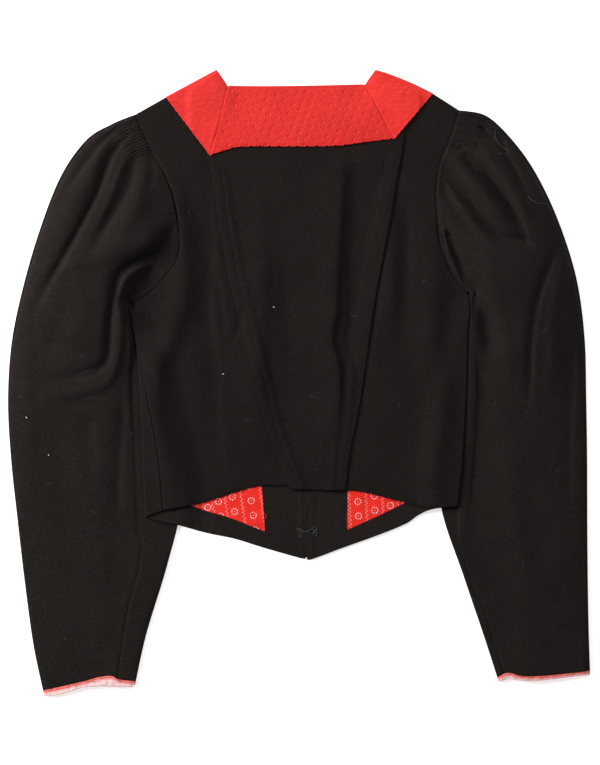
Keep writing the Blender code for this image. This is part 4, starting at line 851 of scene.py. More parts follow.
def build_side_strip(wool):
    """The part of the left front that comes over the side's fold and runs on to the side seam."""
    low = np.linspace(0.03, 1, STRIP_POINTS[0])
    seam = at(LINES["left_side_seam"], low)
    fold = at(LINES["left_fold"], low)
    widths = seam[:, 0] - SEAM - fold[:, 0]
    turn = np.radians(np.linspace(0, 90, 10))
    rows = []
    for seam_y, (fold_x, fold_y), width in zip(seam[:, 1], fold, widths):
        radius = min(BODY_HEIGHT / 2, width * 0.6)
        near = radius * (1 - np.cos(turn))
        places = np.concatenate([near, near[-1] + (width - near[-1]) * close_ends(STRIP_POINTS[1])[1:]])
        x = fold_x + places
        y = fold_y + (seam_y - fold_y) * places / width
        from_seam = width - places
        ridge = 0.55 * bell(from_seam - 1.6, 1.0) - 0.3 * bell(from_seam, 0.6)
        z = back_top(x, y) - turned(places, BODY_HEIGHT) - 0.35 * bell(from_seam, 1.6)
        rows.append(np.stack([x, y, z + ridge * ease((10 - y) / 30)], axis=1))
    return cloth("front_left_side_cloth", np.array(rows), WOOL, wool)


def facing_shares(side, shape, rows):
    """The share across each row of a front at which its facing starts."""
    shares = np.linspace(0, 1, 241)
    r, u = np.meshgrid(rows, shares, indexing="ij")
    plan = panel_plan(r, u, *shape)
    past = plan[..., 0] - x_at(smooth_line(FACING_EDGES[side]), plan[..., 1])
    return np.array([np.interp(0, row if side == "left" else -row, shares) for row in past])


def inside_piece(name, side, ends, points, start, to_centre, thickness, finish, relief):
    """A facing, band or lining on a front's inner face, between two row numbers. From the width of each row
    and that of its facing, start gives how far the piece starts from the side's fold. A piece that doesn't go
    to the centre front ends at the facing."""
    shape = front_shape(side)
    rows = np.linspace(*ends, points[0])
    across = points[1]
    widths = panel_widths(shape, rows)
    facing = widths * (1 - facing_shares(side, shape, rows))
    first, last = start(widths, facing), 0 * facing if to_centre else facing
    distance = first[:, None] + (widths - last - first)[:, None] * close_ends(across)[None, :]
    plan = panel_plan(rows[:, None] * np.ones(across), distance / widths[:, None], *shape)
    for axis in (0, 1):
        plan = np.swapaxes(plan, 0, axis)
        for end, following in ((0, 1), (-1, -2)):
            way = plan[following] - plan[end]
            length = np.hypot(way[..., 0], way[..., 1])[..., None] + 1e-9
            plan[end] = plan[end] + way * (SEAM * 0.5 / length).clip(0, 0.9)
        plan = np.swapaxes(plan, 0, axis)
    x, y = np.moveaxis(plan, -1, 0)
    return cloth(name, raised(plan, lift(x, y) + WOOL + SEAM + thickness + relief(x, y)), thickness, finish)


def build_inside(side, wool, print_cloth):
    """Facing, hem band and lining of one front."""
    sign = -1 if side == "left" else 1

    def facing_relief(x, y):
        """A welt along the centre front, a sewn line beside it and slight unevenness."""
        edge = abs(x - CENTRE_FRONT)
        welt = 0.35 * bell(edge - 6.5, 2.2) - 0.3 * bell(edge - 10.2, 0.9)
        return welt + 0.22 + 0.2 * uneven(x, y, 34, 31 + sign)

    def hem_relief(x, y):
        """Slight unevenness."""
        return 0.2 + 0.16 * uneven(x, y, 26, 41 + sign)

    def lining_relief(x, y):
        """Soft swells, as the lining lies loose."""
        return 0.55 + 0.30 * uneven(x, y, 20, 51 + sign) + 0.12 * uneven(x, y, 8, 53 + sign)

    def from_facing(width, facing):
        """The facing starts at its own edge."""
        return width - facing

    def from_fold(width, facing):
        """The band starts beside the side's fold."""
        return 0 * width + INSIDE_MARGIN

    def from_side(width, facing):
        """The lining starts a seventh of the way from there to the facing."""
        return INSIDE_MARGIN + (width - facing - INSIDE_MARGIN) / 7

    facing = inside_piece(f"front_facing_{side}_cloth", side, (16, 19), FACING_POINTS, from_facing, True,
                          FACING, wool, facing_relief)
    band = inside_piece(f"hem_facing_{side}_cloth", side, (18, 19), BAND_POINTS, from_fold, False,
                        FACING, wool, hem_relief)
    lining = inside_piece(f"lining_{side}_cloth", side, (17, 18), LINING_POINTS, from_side, False,
                          LINING, print_cloth, lining_relief)
    return facing, band, lining


# Yoke


def quilting(x, y):
    """Height of the yoke's pleated quilting: steep zigzag ridges, drawn down where the lattice is sewn."""
    row = (NECKLINE[0][1] - y) / ZIGZAG_ROW
    wander = 0.55 * uneven(x, y, 24, 61)
    swing = np.abs((row % 1) * 2 - 1) * 2 - 1
    column = (x + ZIGZAG_SWING * swing + wander) / ZIGZAG_PITCH
    ridge = np.abs(np.sin(math.pi * column)) ** 0.9
    lattice = (x - LATTICE_SLANT * row) / LATTICE_STEP
    knot = 0.5 + 0.5 * np.cos(math.tau * lattice)
    knot *= 0.5 + 0.5 * np.cos(math.tau * (row + 0.5 * np.round(lattice)))
    ridge *= ZIGZAG_RISE * (0.85 + 0.3 * uneven(x, y, 30, 63)) * (1 - 0.45 * knot ** 3)
    return ridge - 0.42 * knot ** 4 + 0.12 * uneven(x, y, 7, 65)


def scalloped(points, step, deep, inwards):
    """The line through the points with a small notch at each step, and shallow ones between."""
    line = smooth_line(points)
    share = np.linspace(0, 1, 1201)
    place = share * distances(line)[-1]
    swell = 0.25 * np.sin(place / 7.3) + 0.2 * np.sin(place / 3.1 + 1)
    notch = deep * bell((place + swell) % step - step / 2, 1.0)
    small = 0.32 * deep * np.abs(np.sin(math.pi * (place + swell) / step * 3))
    ends = ease(share / 0.02) * ease((1 - share) / 0.02)
    return moved_sideways(at(line, share), inwards * (notch + small) * ends)


def build_yoke_centre(red):
    """The quilted middle of the yoke."""
    left = smooth_line((YOKES["left"]["C"], YOKES["left"]["D"])) + (SEAM * 0.4, 0)
    right = smooth_line((YOKES["right"]["C"], YOKES["right"]["D"])) - (SEAM * 0.4, 0)
    v, u = (np.linspace(0, 1, count) for count in YOKE_CENTRE_POINTS)
    u, v = np.meshgrid(u, v)
    plan = patch(left, right, smooth_line(NECKLINE), scalloped(YOKE_LOWER_EDGE, SCALLOP, 0.95, 1), u, v)
    x, y = np.moveaxis(plan, -1, 0)
    down = v * YOKE_DEPTH
    beside = np.minimum(x - x_at(left, y), x_at(right, y) - x)
    sewn = ease((down - 2.6) / 1.2) * ease((YOKE_DEPTH - down + 0.5) / 2.0) * ease(beside / 2.0)
    z = yoke_base(x, y) + QUILTED_YOKE + sewn * quilting(x, y) + 0.25
    z += 0.35 * uneven(x, y, 60, 67) * ease(down / 8) - 0.3 * bell(beside, 0.9)
    z -= 0.28 * bell(down - 3.0, 0.6) * (1 - bell(beside, 2)) + 0.4 * bell(YOKE_DEPTH - down - 1.6, 0.5)
    return cloth("yoke_centre_cloth", raised(plan, z), QUILTED_YOKE, red, every=4)


def build_yoke_side(side, red):
    """A plain end of the yoke, from its mitre over the shoulder's fold to the seam with the front."""
    corner = YOKES[side]
    outer_edge = scalloped((corner["A"], corner["D"]), SCALLOP * 0.62, 0.5, 1 if side == "left" else -1)
    mitre = smooth_line((corner["C"], corner["D"]))
    neck = smooth_line((corner["B"], corner["C"]))
    fold = smooth_line(corner["fold"])
    height = BODY_HEIGHT + SEAM + PLAIN_YOKE
    turn = fold_places(height, 0.0, YOKE_TURN_POINTS)
    u = np.linspace(0, 1, YOKE_SIDE_POINTS[1])
    down = close_ends(YOKE_SIDE_POINTS[0], first=False)[1:]
    length = distances(outer_edge)[-1]
    rows = []
    for gap in np.concatenate([turn, turn[-1] + (length - turn[-1]) * down])[::-1]:
        plan = patch(outer_edge, neck, fold, mitre[::-1], u, np.full(len(u), gap / length))
        x, y = plan.T
        flat = ease(gap / YOKE_FADE)
        seam_gap = abs(x - x_at(mitre, y))
        edge_gap = u * math.dist(plan[0], plan[-1])
        relief = 0.3 * bell(seam_gap, 4.0) - 0.35 * bell(seam_gap, 0.9) - 0.3 * bell(edge_gap - 2.0, 0.6)
        relief += 0.34 * uneven(x, y, 42, 71) + 0.13 * uneven(x, y, 10, 73) + 0.05 * uneven(x, y, 4, 75)
        z = (yoke_base(x, y) + PLAIN_YOKE) * flat + height * (1 - flat) - turned(gap, height) + flat * relief
        rows.append(raised(plan, z if gap else np.full(len(u), height / 2)))
    floor_outer = smooth_line((corner["A"], corner["front_outer"]))
    floor_inner = smooth_line((corner["B"], corner["front_inner"]))
    floor_end = smooth_line((corner["front_outer"], corner["front_inner"]))
    for place in np.concatenate([turn[1:], np.linspace(turn[-1], YOKE_UNDER_LENGTH, YOKE_UNDER_ROWS)[1:]]):
        plan = patch(floor_outer, floor_inner, fold, floor_end, u, np.full(len(u), place / YOKE_UNDER_LENGTH))
        rows.append(raised(plan, np.full(len(u), turned(place, height))))
    return cloth(f"yoke_{side}_cloth", np.array(rows), PLAIN_YOKE, red)


# Sleeves


def sleeve_section(table, station):
    """The table's columns at a station: 0 is the armhole, and the last row's number is the cuff."""
    rows = np.array(table)
    last = len(rows) - 1
    k = min(int(station), last - 1)
    value = between(rows[max(k - 1, 0)], rows[k], rows[k + 1], rows[min(k + 2, last)], station - k)
    return dict(zip(SLEEVE_COLUMNS, value))


def sleeve_plan(section, w, armhole, cuff, cuff_part, straighter):
    """x, y points across a sleeve section at shares w from its outer fold to its inner fold."""
    outer = np.array((section["outer_x"], section["outer_y"]))
    inner = np.array((section["inner_x"], section["inner_y"]))
    plan = outer + (inner - outer) * w[:, None]
    kept = section["bulge"] * (1 - straighter * w ** 4)
    for line, part in ((armhole, kept[:, None]), (cuff, cuff_part)):
        chord = at(line, 0) + (at(line, 1) - at(line, 0)) * w[:, None]
        plan = plan + part * (at(line, w) - chord)
    return plan


def reach_under(plan, side):
    """The plan's points drawn further under the body below the underarm, so that no gap shows beside it."""
    x, y = plan.T
    near = bell(x - x_at(LINES[f"{side}_fold"], y), 20)
    moved = SLEEVE_REACH * near * ease((LIFT_START[side] + 5 - y) / 15) * ease((y - 5) / 45)
    return np.stack([x + moved if side == "left" else x - moved, y], axis=1)


def covered_share(section, side):
    """The share of a sleeve section's width that lies under the body, and a margin."""
    reach = abs(section["inner_x"] - section["outer_x"])
    width = math.hypot(reach, section["inner_y"] - section["outer_y"])
    under = abs(x_at(LINES[f"{side}_fold"], section["inner_y"]) - section["outer_x"])
    out_again = ease((section["inner_y"] + SLEEVE_CLEAR) / SLEEVE_CLEAR_RUN)
    return max(0.0, reach - under + COVER_MARGIN) / width * out_again


def sleeve_stations():
    """Where the rings lie: closest at the armhole and at the cuff."""
    parts = (np.linspace(0, 1.25, 45), np.linspace(1.25, 5, 88)[1:], np.linspace(5, 11.9, 95)[1:],
             np.array((11.96, 11.985, 12.0)))
    return np.concatenate(parts)


def flattened_ring(height, inset, width, flat, low_count):
    """Shares across and heights of a flattened tube's ring: w and high for the layer that shows, with the
    shares given between its turns, and low and deep for the layer underneath."""
    radius = height / 2
    inside = radius / width
    angles = np.radians(np.linspace(0, 90, TURN_POINTS + 1)[:-1])
    turn = (inset + (radius - inset) * (1 - np.cos(angles))) / width
    rise = (radius - inset) * np.sin(angles)
    w = np.concatenate([turn, flat, 1 - turn[::-1]])
    low = np.concatenate([1 - turn[1:], np.linspace(1 - inside, inside, low_count), turn[:0:-1]])
    high, deep = np.full(len(w), height - inset), np.full(len(low), float(inset))
    high[:TURN_POINTS], high[-TURN_POINTS:] = radius + rise, radius + rise[::-1]
    deep[:TURN_POINTS - 1], deep[1 - TURN_POINTS:] = radius - rise[1:], radius - rise[:0:-1]
    return w, high, low, deep


def sleeve_dome(section, station, top, shown, side):
    """Height that the sleeve's fullness adds, and on the right its ridge against the body's edge."""
    dome = section["fullness"] * (1 - 0.5 * ease((station - 5) / 3))
    inner_curve = 0.5 + (ease((station - 3) / 3) if side == "right" else 0)
    dome = dome * np.sin(math.pi * shown) ** np.where(shown < 0.5, 0.5, inner_curve)
    if side == "left":
        return dome
    x, y = top.T
    outside = x - x_at(LINES["right_fold"], y)
    against = ease((outside + 0.7) / 1.6) * bell(np.maximum(outside - 4, 0), BESIDE_RUN)
    along = ease((LIFT_START["right"] + 4 - y) / 26) * ease((y + 195) / 50)
    along *= 0.5 + 0.5 * ease((y + 90) / 90)
    return dome + BESIDE_RISE * against * along


def sleeve_shell(side, armhole, cuff):
    """A sleeve without its small folds: plan and height of the outer face, points of the inner one, and each
    point's share across the sleeve and distance from the folded edges."""
    table = SLEEVES[side]["table"]
    last = len(table) - 1
    even = np.linspace(0, 1, TOP_POINTS)
    smocked = PLEATED_SHARE * 1.04
    pleated = np.concatenate([np.linspace(0, smocked, PLEAT_POINTS),
                              np.linspace(smocked, 1, TOP_POINTS - PLEAT_POINTS + 1)[1:]])
    rings = []
    for station in sleeve_stations():
        section = sleeve_section(table, station)
        covered = covered_share(section, side)
        lines = (armhole, cuff, ease(station - (last - 1.5)), min(1.5, FAN * station))
        width = math.dist(*sleeve_plan(section, np.array((0.0, 1.0)), *lines))
        inside = section["height"] / 2 / width
        flat = inside + (1 - 2 * inside) * (even + (pleated - even) * ease((3.2 - station) / 2.0))
        faces = []
        for inset in (0.0, WOOL):
            w, high, low, deep = flattened_ring(section["height"], inset, width, flat, LOW_POINTS)
            top, bottom = (reach_under(sleeve_plan(section, part, *lines), side) for part in (w, low))
            q = np.clip((w - inside) / (1 - 2 * inside), 0, 1)
            dome = sleeve_dome(section, station, top, np.clip(q / (1 - covered), 0, 1), side)
            faces.append(raised(np.concatenate([top, bottom]), np.concatenate([high + dome, deep])))
            if inset == 0:
                beside = np.minimum(q, np.maximum(1 - covered - q, 0)) * width
                low_beside = np.maximum(np.minimum(low - inside, 1 - inside - low) * width, 0)
                shares = np.concatenate([w, low])
        rings.append((*faces, shares, np.concatenate([beside, low_beside])))
    outer, inner, share, beside = (np.array(part) for part in zip(*rings))
    return outer[..., :2], outer[..., 2], inner, share, beside


def smocking(share, gap, side):
    """Height of the smocked head's pleats, from the armhole's seam on, and of the dips between them below."""
    sign = -1 if side == "left" else 1
    smocked = ease((PLEATED_SHARE * 1.05 - share) / (PLEATED_SHARE * 0.10))
    wander = 0.16 * np.sin(gap / 3.1 + share * 60) + 0.22 * np.sin(gap / 11 + share * 23 + sign)
    phase = share / PLEATED_SHARE * PLEATS + wander
    reach = PLEAT_LENGTH[side] + 3.5 * np.sin(np.floor(phase) * 2.4)
    full = smocked * ease((gap - 0.2) / 1.6) * ease((reach + 7 - gap) / 9)
    ridge = np.abs(np.sin(math.pi * phase)) ** 0.75
    rows = bell((gap + 0.4 * np.sin(phase * 3)) % SMOCK_ROW - SMOCK_ROW / 2, 0.8)
    rise = PLEAT_RISE[side] * (0.85 + 0.2 * np.sin(np.floor(phase) * 1.7))
    pleats = full * (rise - 0.3 * rows) * ridge
    loose_phase = share / PLEATED_SHARE * 5.2 + 0.3 * np.sin(gap / 9)
    release = smocked * ease((gap - 16) / 10) * ease((62 - gap) / 34)
    pleats += 0.55 * release * (np.abs(np.sin(math.pi * loose_phase)) - 0.4)
    eased = ease((gap - 0.5) / 3) * ease((20 - gap) / 16) * ease((share - PLEATED_SHARE) / 0.05)
    pleats += 0.22 * eased * np.sin(share * 210 + 2 * np.sin(share * 31)) * ease((0.85 - share) / 0.1)
    return pleats, full * 1.05 * (1 - ridge)


def build_sleeve(side, wool):
    """One sleeve as a flattened tube with its smocked head, its folds and its seam."""
    sign = -1 if side == "left" else 1
    armhole = moved_sideways(LINES[f"{side}_armhole"], sign * SEAM)
    plan, z, inner, share, beside = sleeve_shell(side, armhole, smooth_line(SLEEVES[side]["cuff"]))
    x, y = np.moveaxis(plan, -1, 0)
    gap = nearest(x, y, armhole[::6])[0]
    cuff_gap = nearest(x, y, smooth_line(SLEEVES[side]["cuff"], 6))[0]
    seam_gap = nearest(x, y, smooth_line(SLEEVES[side]["seam"], 8))[0]
    upper = TOP_POINTS + 2 * TURN_POINTS
    top = np.arange(plan.shape[1]) < upper

    pleats, dips = smocking(share, gap, side)
    inner_part = ease(beside / 5.0)
    relief = fold_height(x, y, SLEEVES[side]["folds"])
    swell = (0.42 * uneven(x, y, 70, 81 + sign) + 0.14 * uneven(x, y, 24, 83 + sign)) * ease(gap / 20)
    groove = 0.55 * bell(seam_gap, 1.0) - 0.25 * bell(seam_gap - 4.5, 3.0)
    hem = 0.35 * ease((CUFF_HEM + 1 - cuff_gap) / 2.0) - 0.35 * bell(cuff_gap - CUFF_HEM, 0.9)
    shape = (relief * ease((gap + 1) / 8) + swell - groove) * inner_part + 0.6 * hem * ease(beside / 4)
    soft = np.maximum(z + shape, np.minimum(z, SLEEVE_HEIGHT - 0.2))
    dip = 0.55 * bell(gap, 1.4)
    lower_shape = np.clip(-0.16 * relief + 0.5 * uneven(x, y, 60, 85 + sign), 0, 1.2) * ease(beside / 12)
    outer_z = np.where(top, soft + pleats * ease((beside + 2.5) / 4) - dip,
                       z + lower_shape + dips * ease(beside / 2))
    inner[..., 2] += np.where(top, soft - z - dip, lower_shape)

    for from_end, roll in ((0, 0.55), (1, 0.12)):
        for ring, height in ((from_end, BODY_HEIGHT), (-1 - from_end, SLEEVE_HEIGHT)):
            outer_z[ring] += np.clip(height / 2 - outer_z[ring], -roll, roll) * 0.9
    outer = raised(plan, outer_z)
    for k in range(8):
        way = unit(plan[k + 1, :upper] - plan[k, :upper])
        from_folds = np.minimum(share[k, :upper], 1 - share[k, :upper]) * 200
        reach = bell(gap[k, upper // 2], 1.6) * ease((from_folds - 1) / 3)
        for face in (outer, inner):
            face[k, :upper, :2] -= 1.6 * way * reach[:, None]
            face[k, :upper, 2] -= 1.5 * reach
    return tube(f"sleeve_{side}_cloth", outer, inner, wool)


def build_cuff_edge(side, finishes):
    """The narrow red edge of a cuff: a soft flattened ring beyond the black hem, worn paler away from it."""
    black, end = smooth_line(SLEEVES[side]["cuff"]), smooth_line(SLEEVES[side]["red"])
    width = math.dist(at(black, 0), at(black, 1))
    height = SLEEVE_HEIGHT - 0.4
    inside = height / 2 / width
    faces = []
    for inset in (0.0, CUFF_EDGE):
        flat = np.linspace(inside, 1 - inside, CUFF_POINTS[0])
        w, high, low, deep = flattened_ring(height, inset, width, flat, CUFF_POINTS[1])
        q = np.clip((w - inside) / (1 - 2 * inside), 0, 1)
        z_start = np.concatenate([high + CUFF_EDGE_RISE * np.abs(np.sin(math.pi * q)) ** 0.8, deep])
        upper = np.concatenate([ease(np.minimum(q, 1 - q) * width / 3), np.zeros(len(low))])
        shares = np.concatenate([w, low])
        start, last = at(black, shares), at(end, shares)
        way = last - start
        first = start + way / np.maximum(np.hypot(*way.T), 0.8)[:, None] * SEAM * 0.6
        rings = []
        for along in CUFF_EDGE_ROWS:
            plan = first + (last - first) * along
            z = z_start
            if inset == 0:
                x, y = plan.T
                ripple = 0.30 * uneven(x, y, 9, 91) + 0.12 * np.sin(x / 1.1)
                z = z + ripple * upper * ease((1 - along) / 0.2)
                roll = 0.6 * (1 - math.sqrt(1 - max(0.0, (along - 0.8) / 0.2) ** 2))
                z = z + np.clip(height / 2 - z, -roll, roll)
            rings.append(raised(plan, z))
        faces.append(np.array(rings))
    made = tube(f"cuff_edge_{side}_cloth", *faces, finishes[0], every=1)
    from_wool = np.hypot(*np.moveaxis(faces[0] - faces[0][0], 2, 0)[:2])
    for finish in finishes[1:]:
        made.data.materials.append(finish)
    for face in made.data.polygons:
        ring = (face.index // from_wool.shape[1]) % (len(CUFF_EDGE_ROWS) - 1)
        distance = from_wool[ring, face.index % from_wool.shape[1]]
        face.material_index = sum(int(distance > wear) for wear in CUFF_WEAR)
    return made


# Materials


class Value:
    """A number, place or colour in a node tree. Sums with it make Math nodes."""

    def __init__(self, tree, socket):
        self.tree, self.socket = tree, socket

    def do(self, operation, *others):
        """This value, then the others, through one Math node."""
        node = self.tree.nodes.new("ShaderNodeMath")
        node.operation = operation
        for socket, value in zip(node.inputs, (self, *others)):
            put(self.tree, value, socket)
        return Value(self.tree, node.outputs[0])

    def __add__(self, other):
        return self.do("ADD", other)

    def __sub__(self, other):
        return self.do("SUBTRACT", other)

    def __mul__(self, other):
        return self.do("MULTIPLY", other)

    def __truediv__(self, other):
        return self.do("DIVIDE", other)

    def x_and_y(self):
        """The first two parts of a place."""
        node = self.tree.nodes.new("ShaderNodeSeparateXYZ")
        put(self.tree, self, node.inputs["Vector"])
        return Value(self.tree, node.outputs["X"]), Value(self.tree, node.outputs["Y"])


def put(tree, value, socket):
    """Give a socket a value of the tree, a number, or a colour of three parts."""
    if isinstance(value, Value):
        tree.links.new(value.socket, socket)
    elif isinstance(value, tuple):
        socket.default_value = (*value, 1.0)
    else:
        socket.default_value = value


def ramp(value, low, high):
    """0 below low and 1 above high, or the other way round if low is the larger."""
    node = value.tree.nodes.new("ShaderNodeMapRange")
    node.interpolation_type = "SMOOTHSTEP"
    put(value.tree, value, node.inputs["Value"])
    ends = (high, low, 1, 0) if low > high else (low, high, 0, 1)
    for label, end in zip(("From Min", "From Max", "To Min", "To Max"), ends):
        node.inputs[label].default_value = end
    return Value(value.tree, node.outputs["Result"])


def blend(part, first, second):
    """A colour between two."""
    node = part.tree.nodes.new("ShaderNodeMix")
    node.data_type = "RGBA"
    inputs = {socket.identifier: socket for socket in node.inputs}
    for name, value in (("Factor_Float", part), ("A_Color", first), ("B_Color", second)):
        put(part.tree, value, inputs[name])
    return Value(part.tree, next(s for s in node.outputs if s.identifier == "Result_Color"))


def noise(place, scale, detail=2.0, stretch=(1, 1, 1), turn=0.0, roughness=0.5):
    """Noise in millimetres, stretched along turned axes."""
    mapping = place.tree.nodes.new("ShaderNodeMapping")
    mapping.inputs["Scale"].default_value = stretch
    mapping.inputs["Rotation"].default_value = (0, 0, turn)
    put(place.tree, place, mapping.inputs["Vector"])
    node = place.tree.nodes.new("ShaderNodeTexNoise")
    moved = Value(place.tree, mapping.outputs["Vector"])
    for label, value in (("Vector", moved), ("Scale", scale), ("Detail", detail), ("Roughness", roughness)):
        put(place.tree, value, node.inputs[label])
    return Value(place.tree, node.outputs["Fac"])


def new_group(name, inputs):
    """A shader node group with named inputs: a place in mm, and these numbers and colours. Returns its tree
    and the values of its inputs."""
    tree = bpy.data.node_groups.new(name, "ShaderNodeTree")
    tree.interface.new_socket("Position", in_out="INPUT", socket_type="NodeSocketVector")
    for label, value in inputs.items():
        kind = "NodeSocketColor" if isinstance(value, tuple) else "NodeSocketFloat"
        put(tree, value, tree.interface.new_socket(label, in_out="INPUT", socket_type=kind))
    sockets = tree.nodes.new("NodeGroupInput").outputs
    return tree, {label: Value(tree, sockets[label]) for label in ("Position", *inputs)}


def finish_group(tree, results):
    """Give a group its named outputs."""
    for label in results:
        kind = "NodeSocketColor" if label == "Base Color" else "NodeSocketFloat"
        tree.interface.new_socket(label, in_out="OUTPUT", socket_type=kind)
    sockets = tree.nodes.new("NodeGroupOutput").inputs
    for label, value in results.items():
        put(tree, value, sockets[label])
    return tree


def woven_cloth_group():
    """Woven cloth: small threads both ways, slubs, broad unevenness and fine nap. Lengths in mm."""
    tree, given = new_group("Woven cloth", {
        "Base": (0.5, 0.5, 0.5), "Worn": (0.6, 0.6, 0.6), "Thread Size": 1.0, "Thread Depth": 0.5, "Nap": 0.5,
        "Slubs": 0.3, "Mottle": 0.2, "Roughness Base": 0.8})
    place = given["Position"]
    wobble = noise(place, 0.35, 1.0)
    across, along = (((part / given["Thread Size"] + wobble) * math.pi).do("SINE").do("ABSOLUTE")
                     for part in place.x_and_y())
    slub = ramp(noise(place, 0.5, 2.0, (0.09, 1.1, 1)), 0.42, 0.72)
    nap = noise(place, 1.1, 3.0, (1, 1, 1), 0.3, 0.65)
    fibre = noise(place, 2.0, 2.0, (0.35, 1.6, 1), 0.7)
    broad = ramp(noise(place, 0.018, 2.0), 0.3, 0.7)
    mottle = ramp(noise(place, 0.42, 4.0, (1, 1, 1), 0.1, 0.75), 0.36, 0.66)
    weave = (across + along) * 0.5 * given["Thread Depth"]
    height = weave + (nap + fibre) * (given["Nap"] * 0.5) + slub * given["Slubs"]
    # Colour: the mottle and broad patches are the cloth's own uneven tone; raised threads and nap come out
    # lighter and the hollows between them darker, which is painted shade of the weave
    light = mottle * given["Mottle"] + (height * 0.35 + broad * 0.15)
    return finish_group(tree, {"Base Color": blend(light, given["Base"], given["Worn"]),
                               "Roughness": given["Roughness Base"] - height * 0.08, "Bump Height": height})


def flower_print_group():
    """A printed cotton: columns of zigzag lines with flowers between them. Lengths in mm. The columns widen
    or narrow as the lining's fullness spreads them."""
    tree, given = new_group("Flower print", {
        "Start X": 0.0, "Start Y": 0.0, "Slope": 0.1, "Column Width": 15.0, "Widening": 1.0,
        "Row Height": 16.4, "Rise 1": 0.0, "Rise 2": 0.0, "Rise 3": 0.0, "Rise 4": 0.0, "Ground": LINING_RED})
    place_x, place_y = given["Position"].x_and_y()
    right, below = place_x - given["Start X"], given["Start Y"] - place_y
    x, down = right - below * given["Slope"], below + right * given["Slope"]
    width, widening = given["Column Width"], given["Widening"]
    root = (width * width + widening * x * 4.0).do("MAXIMUM", 1.0).do("SQRT")
    column = (root - width) / (widening * 2.0)
    number = column.do("FLOOR")
    across = (column - number - 0.5) * root
    rise = 0.0
    for k in range(4):
        rise = number.do("COMPARE", k - 1.0, 0.1).do("MULTIPLY_ADD", given[f"Rise {k + 1}"], rise)
    along = (((down - rise) / given["Row Height"]).do("FRACT") - 0.5) * given["Row Height"]
    radius = (across * across + along * along).do("SQRT")
    petal = (along.do("ARCTAN2", across) * (PETALS / math.tau)).do("FRACT") - 0.5
    aside = petal * (math.tau * FLOWER / PETALS)
    out = (radius - FLOWER) * 0.8
    petals = ramp((out * out + aside * aside).do("SQRT"), 0.74, 0.32)
    ring = ramp((radius - 1.7).do("ABSOLUTE"), 0.6, 0.3)
    heart = ramp(radius, 1.1, 0.5)

    to_line = (column - column.do("ROUND")) * root
    swing = down.do("PINGPONG", 2.2).do("MULTIPLY_ADD", 1.27, -1.4)
    worn = ramp(noise(given["Position"], 0.6, 2.0), 0.38, 0.60)
    zigzag = ramp((to_line - swing).do("ABSOLUTE"), 0.7, 0.25) * worn.do("MULTIPLY_ADD", 0.45, 0.30)
    colour = blend(zigzag, given["Ground"], (0.90, 0.42, 0.40))
    colour = blend(ring * 0.5, colour, (0.46, 0.012, 0.012))
    colour = blend(heart * 0.5, colour, (0.95, 0.30, 0.26))
    colour = blend(petals * worn.do("MULTIPLY_ADD", 0.6, 0.4), colour, (1.0, 0.92, 0.90))
    return finish_group(tree, {"Base Color": colour})


def uneven_thread_group():
    """Thread, wire or lint, with uneven colour along it."""
    tree, given = new_group("Uneven thread", {"Base": (0.1, 0.1, 0.1), "Worn": (0.2, 0.2, 0.2), "Scale": 3.0,
                                              "Roughness Base": 0.7})
    grain = noise(given["Position"], given["Scale"], 2.0)
    return finish_group(tree, {"Base Color": blend(ramp(grain, 0.3, 0.7), given["Base"], given["Worn"]),
                               "Roughness": grain.do("MULTIPLY_ADD", 0.2, -0.1) + given["Roughness Base"],
                               "Bump Height": grain})


def in_millimetres(tree, turn=0.0):
    """The object's own coordinates in mm, turned about Z."""
    source = tree.nodes.new("ShaderNodeTexCoord")
    mapping = tree.nodes.new("ShaderNodeMapping")
    mapping.inputs["Scale"].default_value = (1 / MM,) * 3
    mapping.inputs["Rotation"].default_value = (0, 0, turn)
    tree.links.new(source.outputs["Object"], mapping.inputs["Vector"])
    return Value(tree, mapping.outputs["Vector"])


def add_group(tree, group, values, turn=0.0):
    """A node of the group with these values on its inputs."""
    node = tree.nodes.new("ShaderNodeGroup")
    node.node_tree = group
    for label, value in {"Position": in_millimetres(tree, turn), **values}.items():
        put(tree, value, node.inputs[label])
    return node


def surface(name, group, values, specular, bump, sheen=0.0, tint=(1, 1, 1), metallic=0.0, turn=0.0):
    """A material whose colour, roughness and bumps come from a node group. bump is a strength and a depth."""
    made = bpy.data.materials.new(name)
    made.use_nodes = True
    tree = made.node_tree
    shader = tree.nodes["Principled BSDF"]
    for label, value in (("Specular IOR Level", specular), ("Sheen Weight", sheen), ("Sheen Roughness", 0.55),
                         ("Sheen Tint", tint), ("Metallic", metallic)):
        put(tree, value, shader.inputs[label])
    node = add_group(tree, group, values, turn)
    for label in ("Base Color", "Roughness"):
        tree.links.new(node.outputs[label], shader.inputs[label])
    relief = tree.nodes.new("ShaderNodeBump")
    relief.inputs["Strength"].default_value = bump[0]
    relief.inputs["Distance"].default_value = bump[1] * MM
    tree.links.new(node.outputs["Bump Height"], relief.inputs["Height"])
    tree.links.new(relief.outputs["Normal"], shader.inputs["Normal"])
    return made, node


def wool_cloth(name, base, worn):
    """Black wool, napped, with its weave a little off the straight."""
    values = {"Base": base, "Worn": worn, "Thread Size": 0.9, "Thread Depth": 0.35, "Nap": 0.9, "Slubs": 0.12,
              "Mottle": 0.5, "Roughness Base": 0.92}
    return surface(name, weave, values, specular=0.05, bump=(0.7, 0.6), sheen=0.02, tint=(0.9, 0.85, 0.8),
                   turn=0.25)[0]


def red_cloth(name, base, worn, relief, settings):
    """Red yoke cloth. The settings are its weave's, and relief is the strength and depth of its bumps."""
    values = {"Base": base, "Worn": worn, **settings}
    return surface(name, weave, values, specular=0.15, bump=(relief, relief), sheen=0.05,
                   tint=(1, 0.5, 0.5))[0]


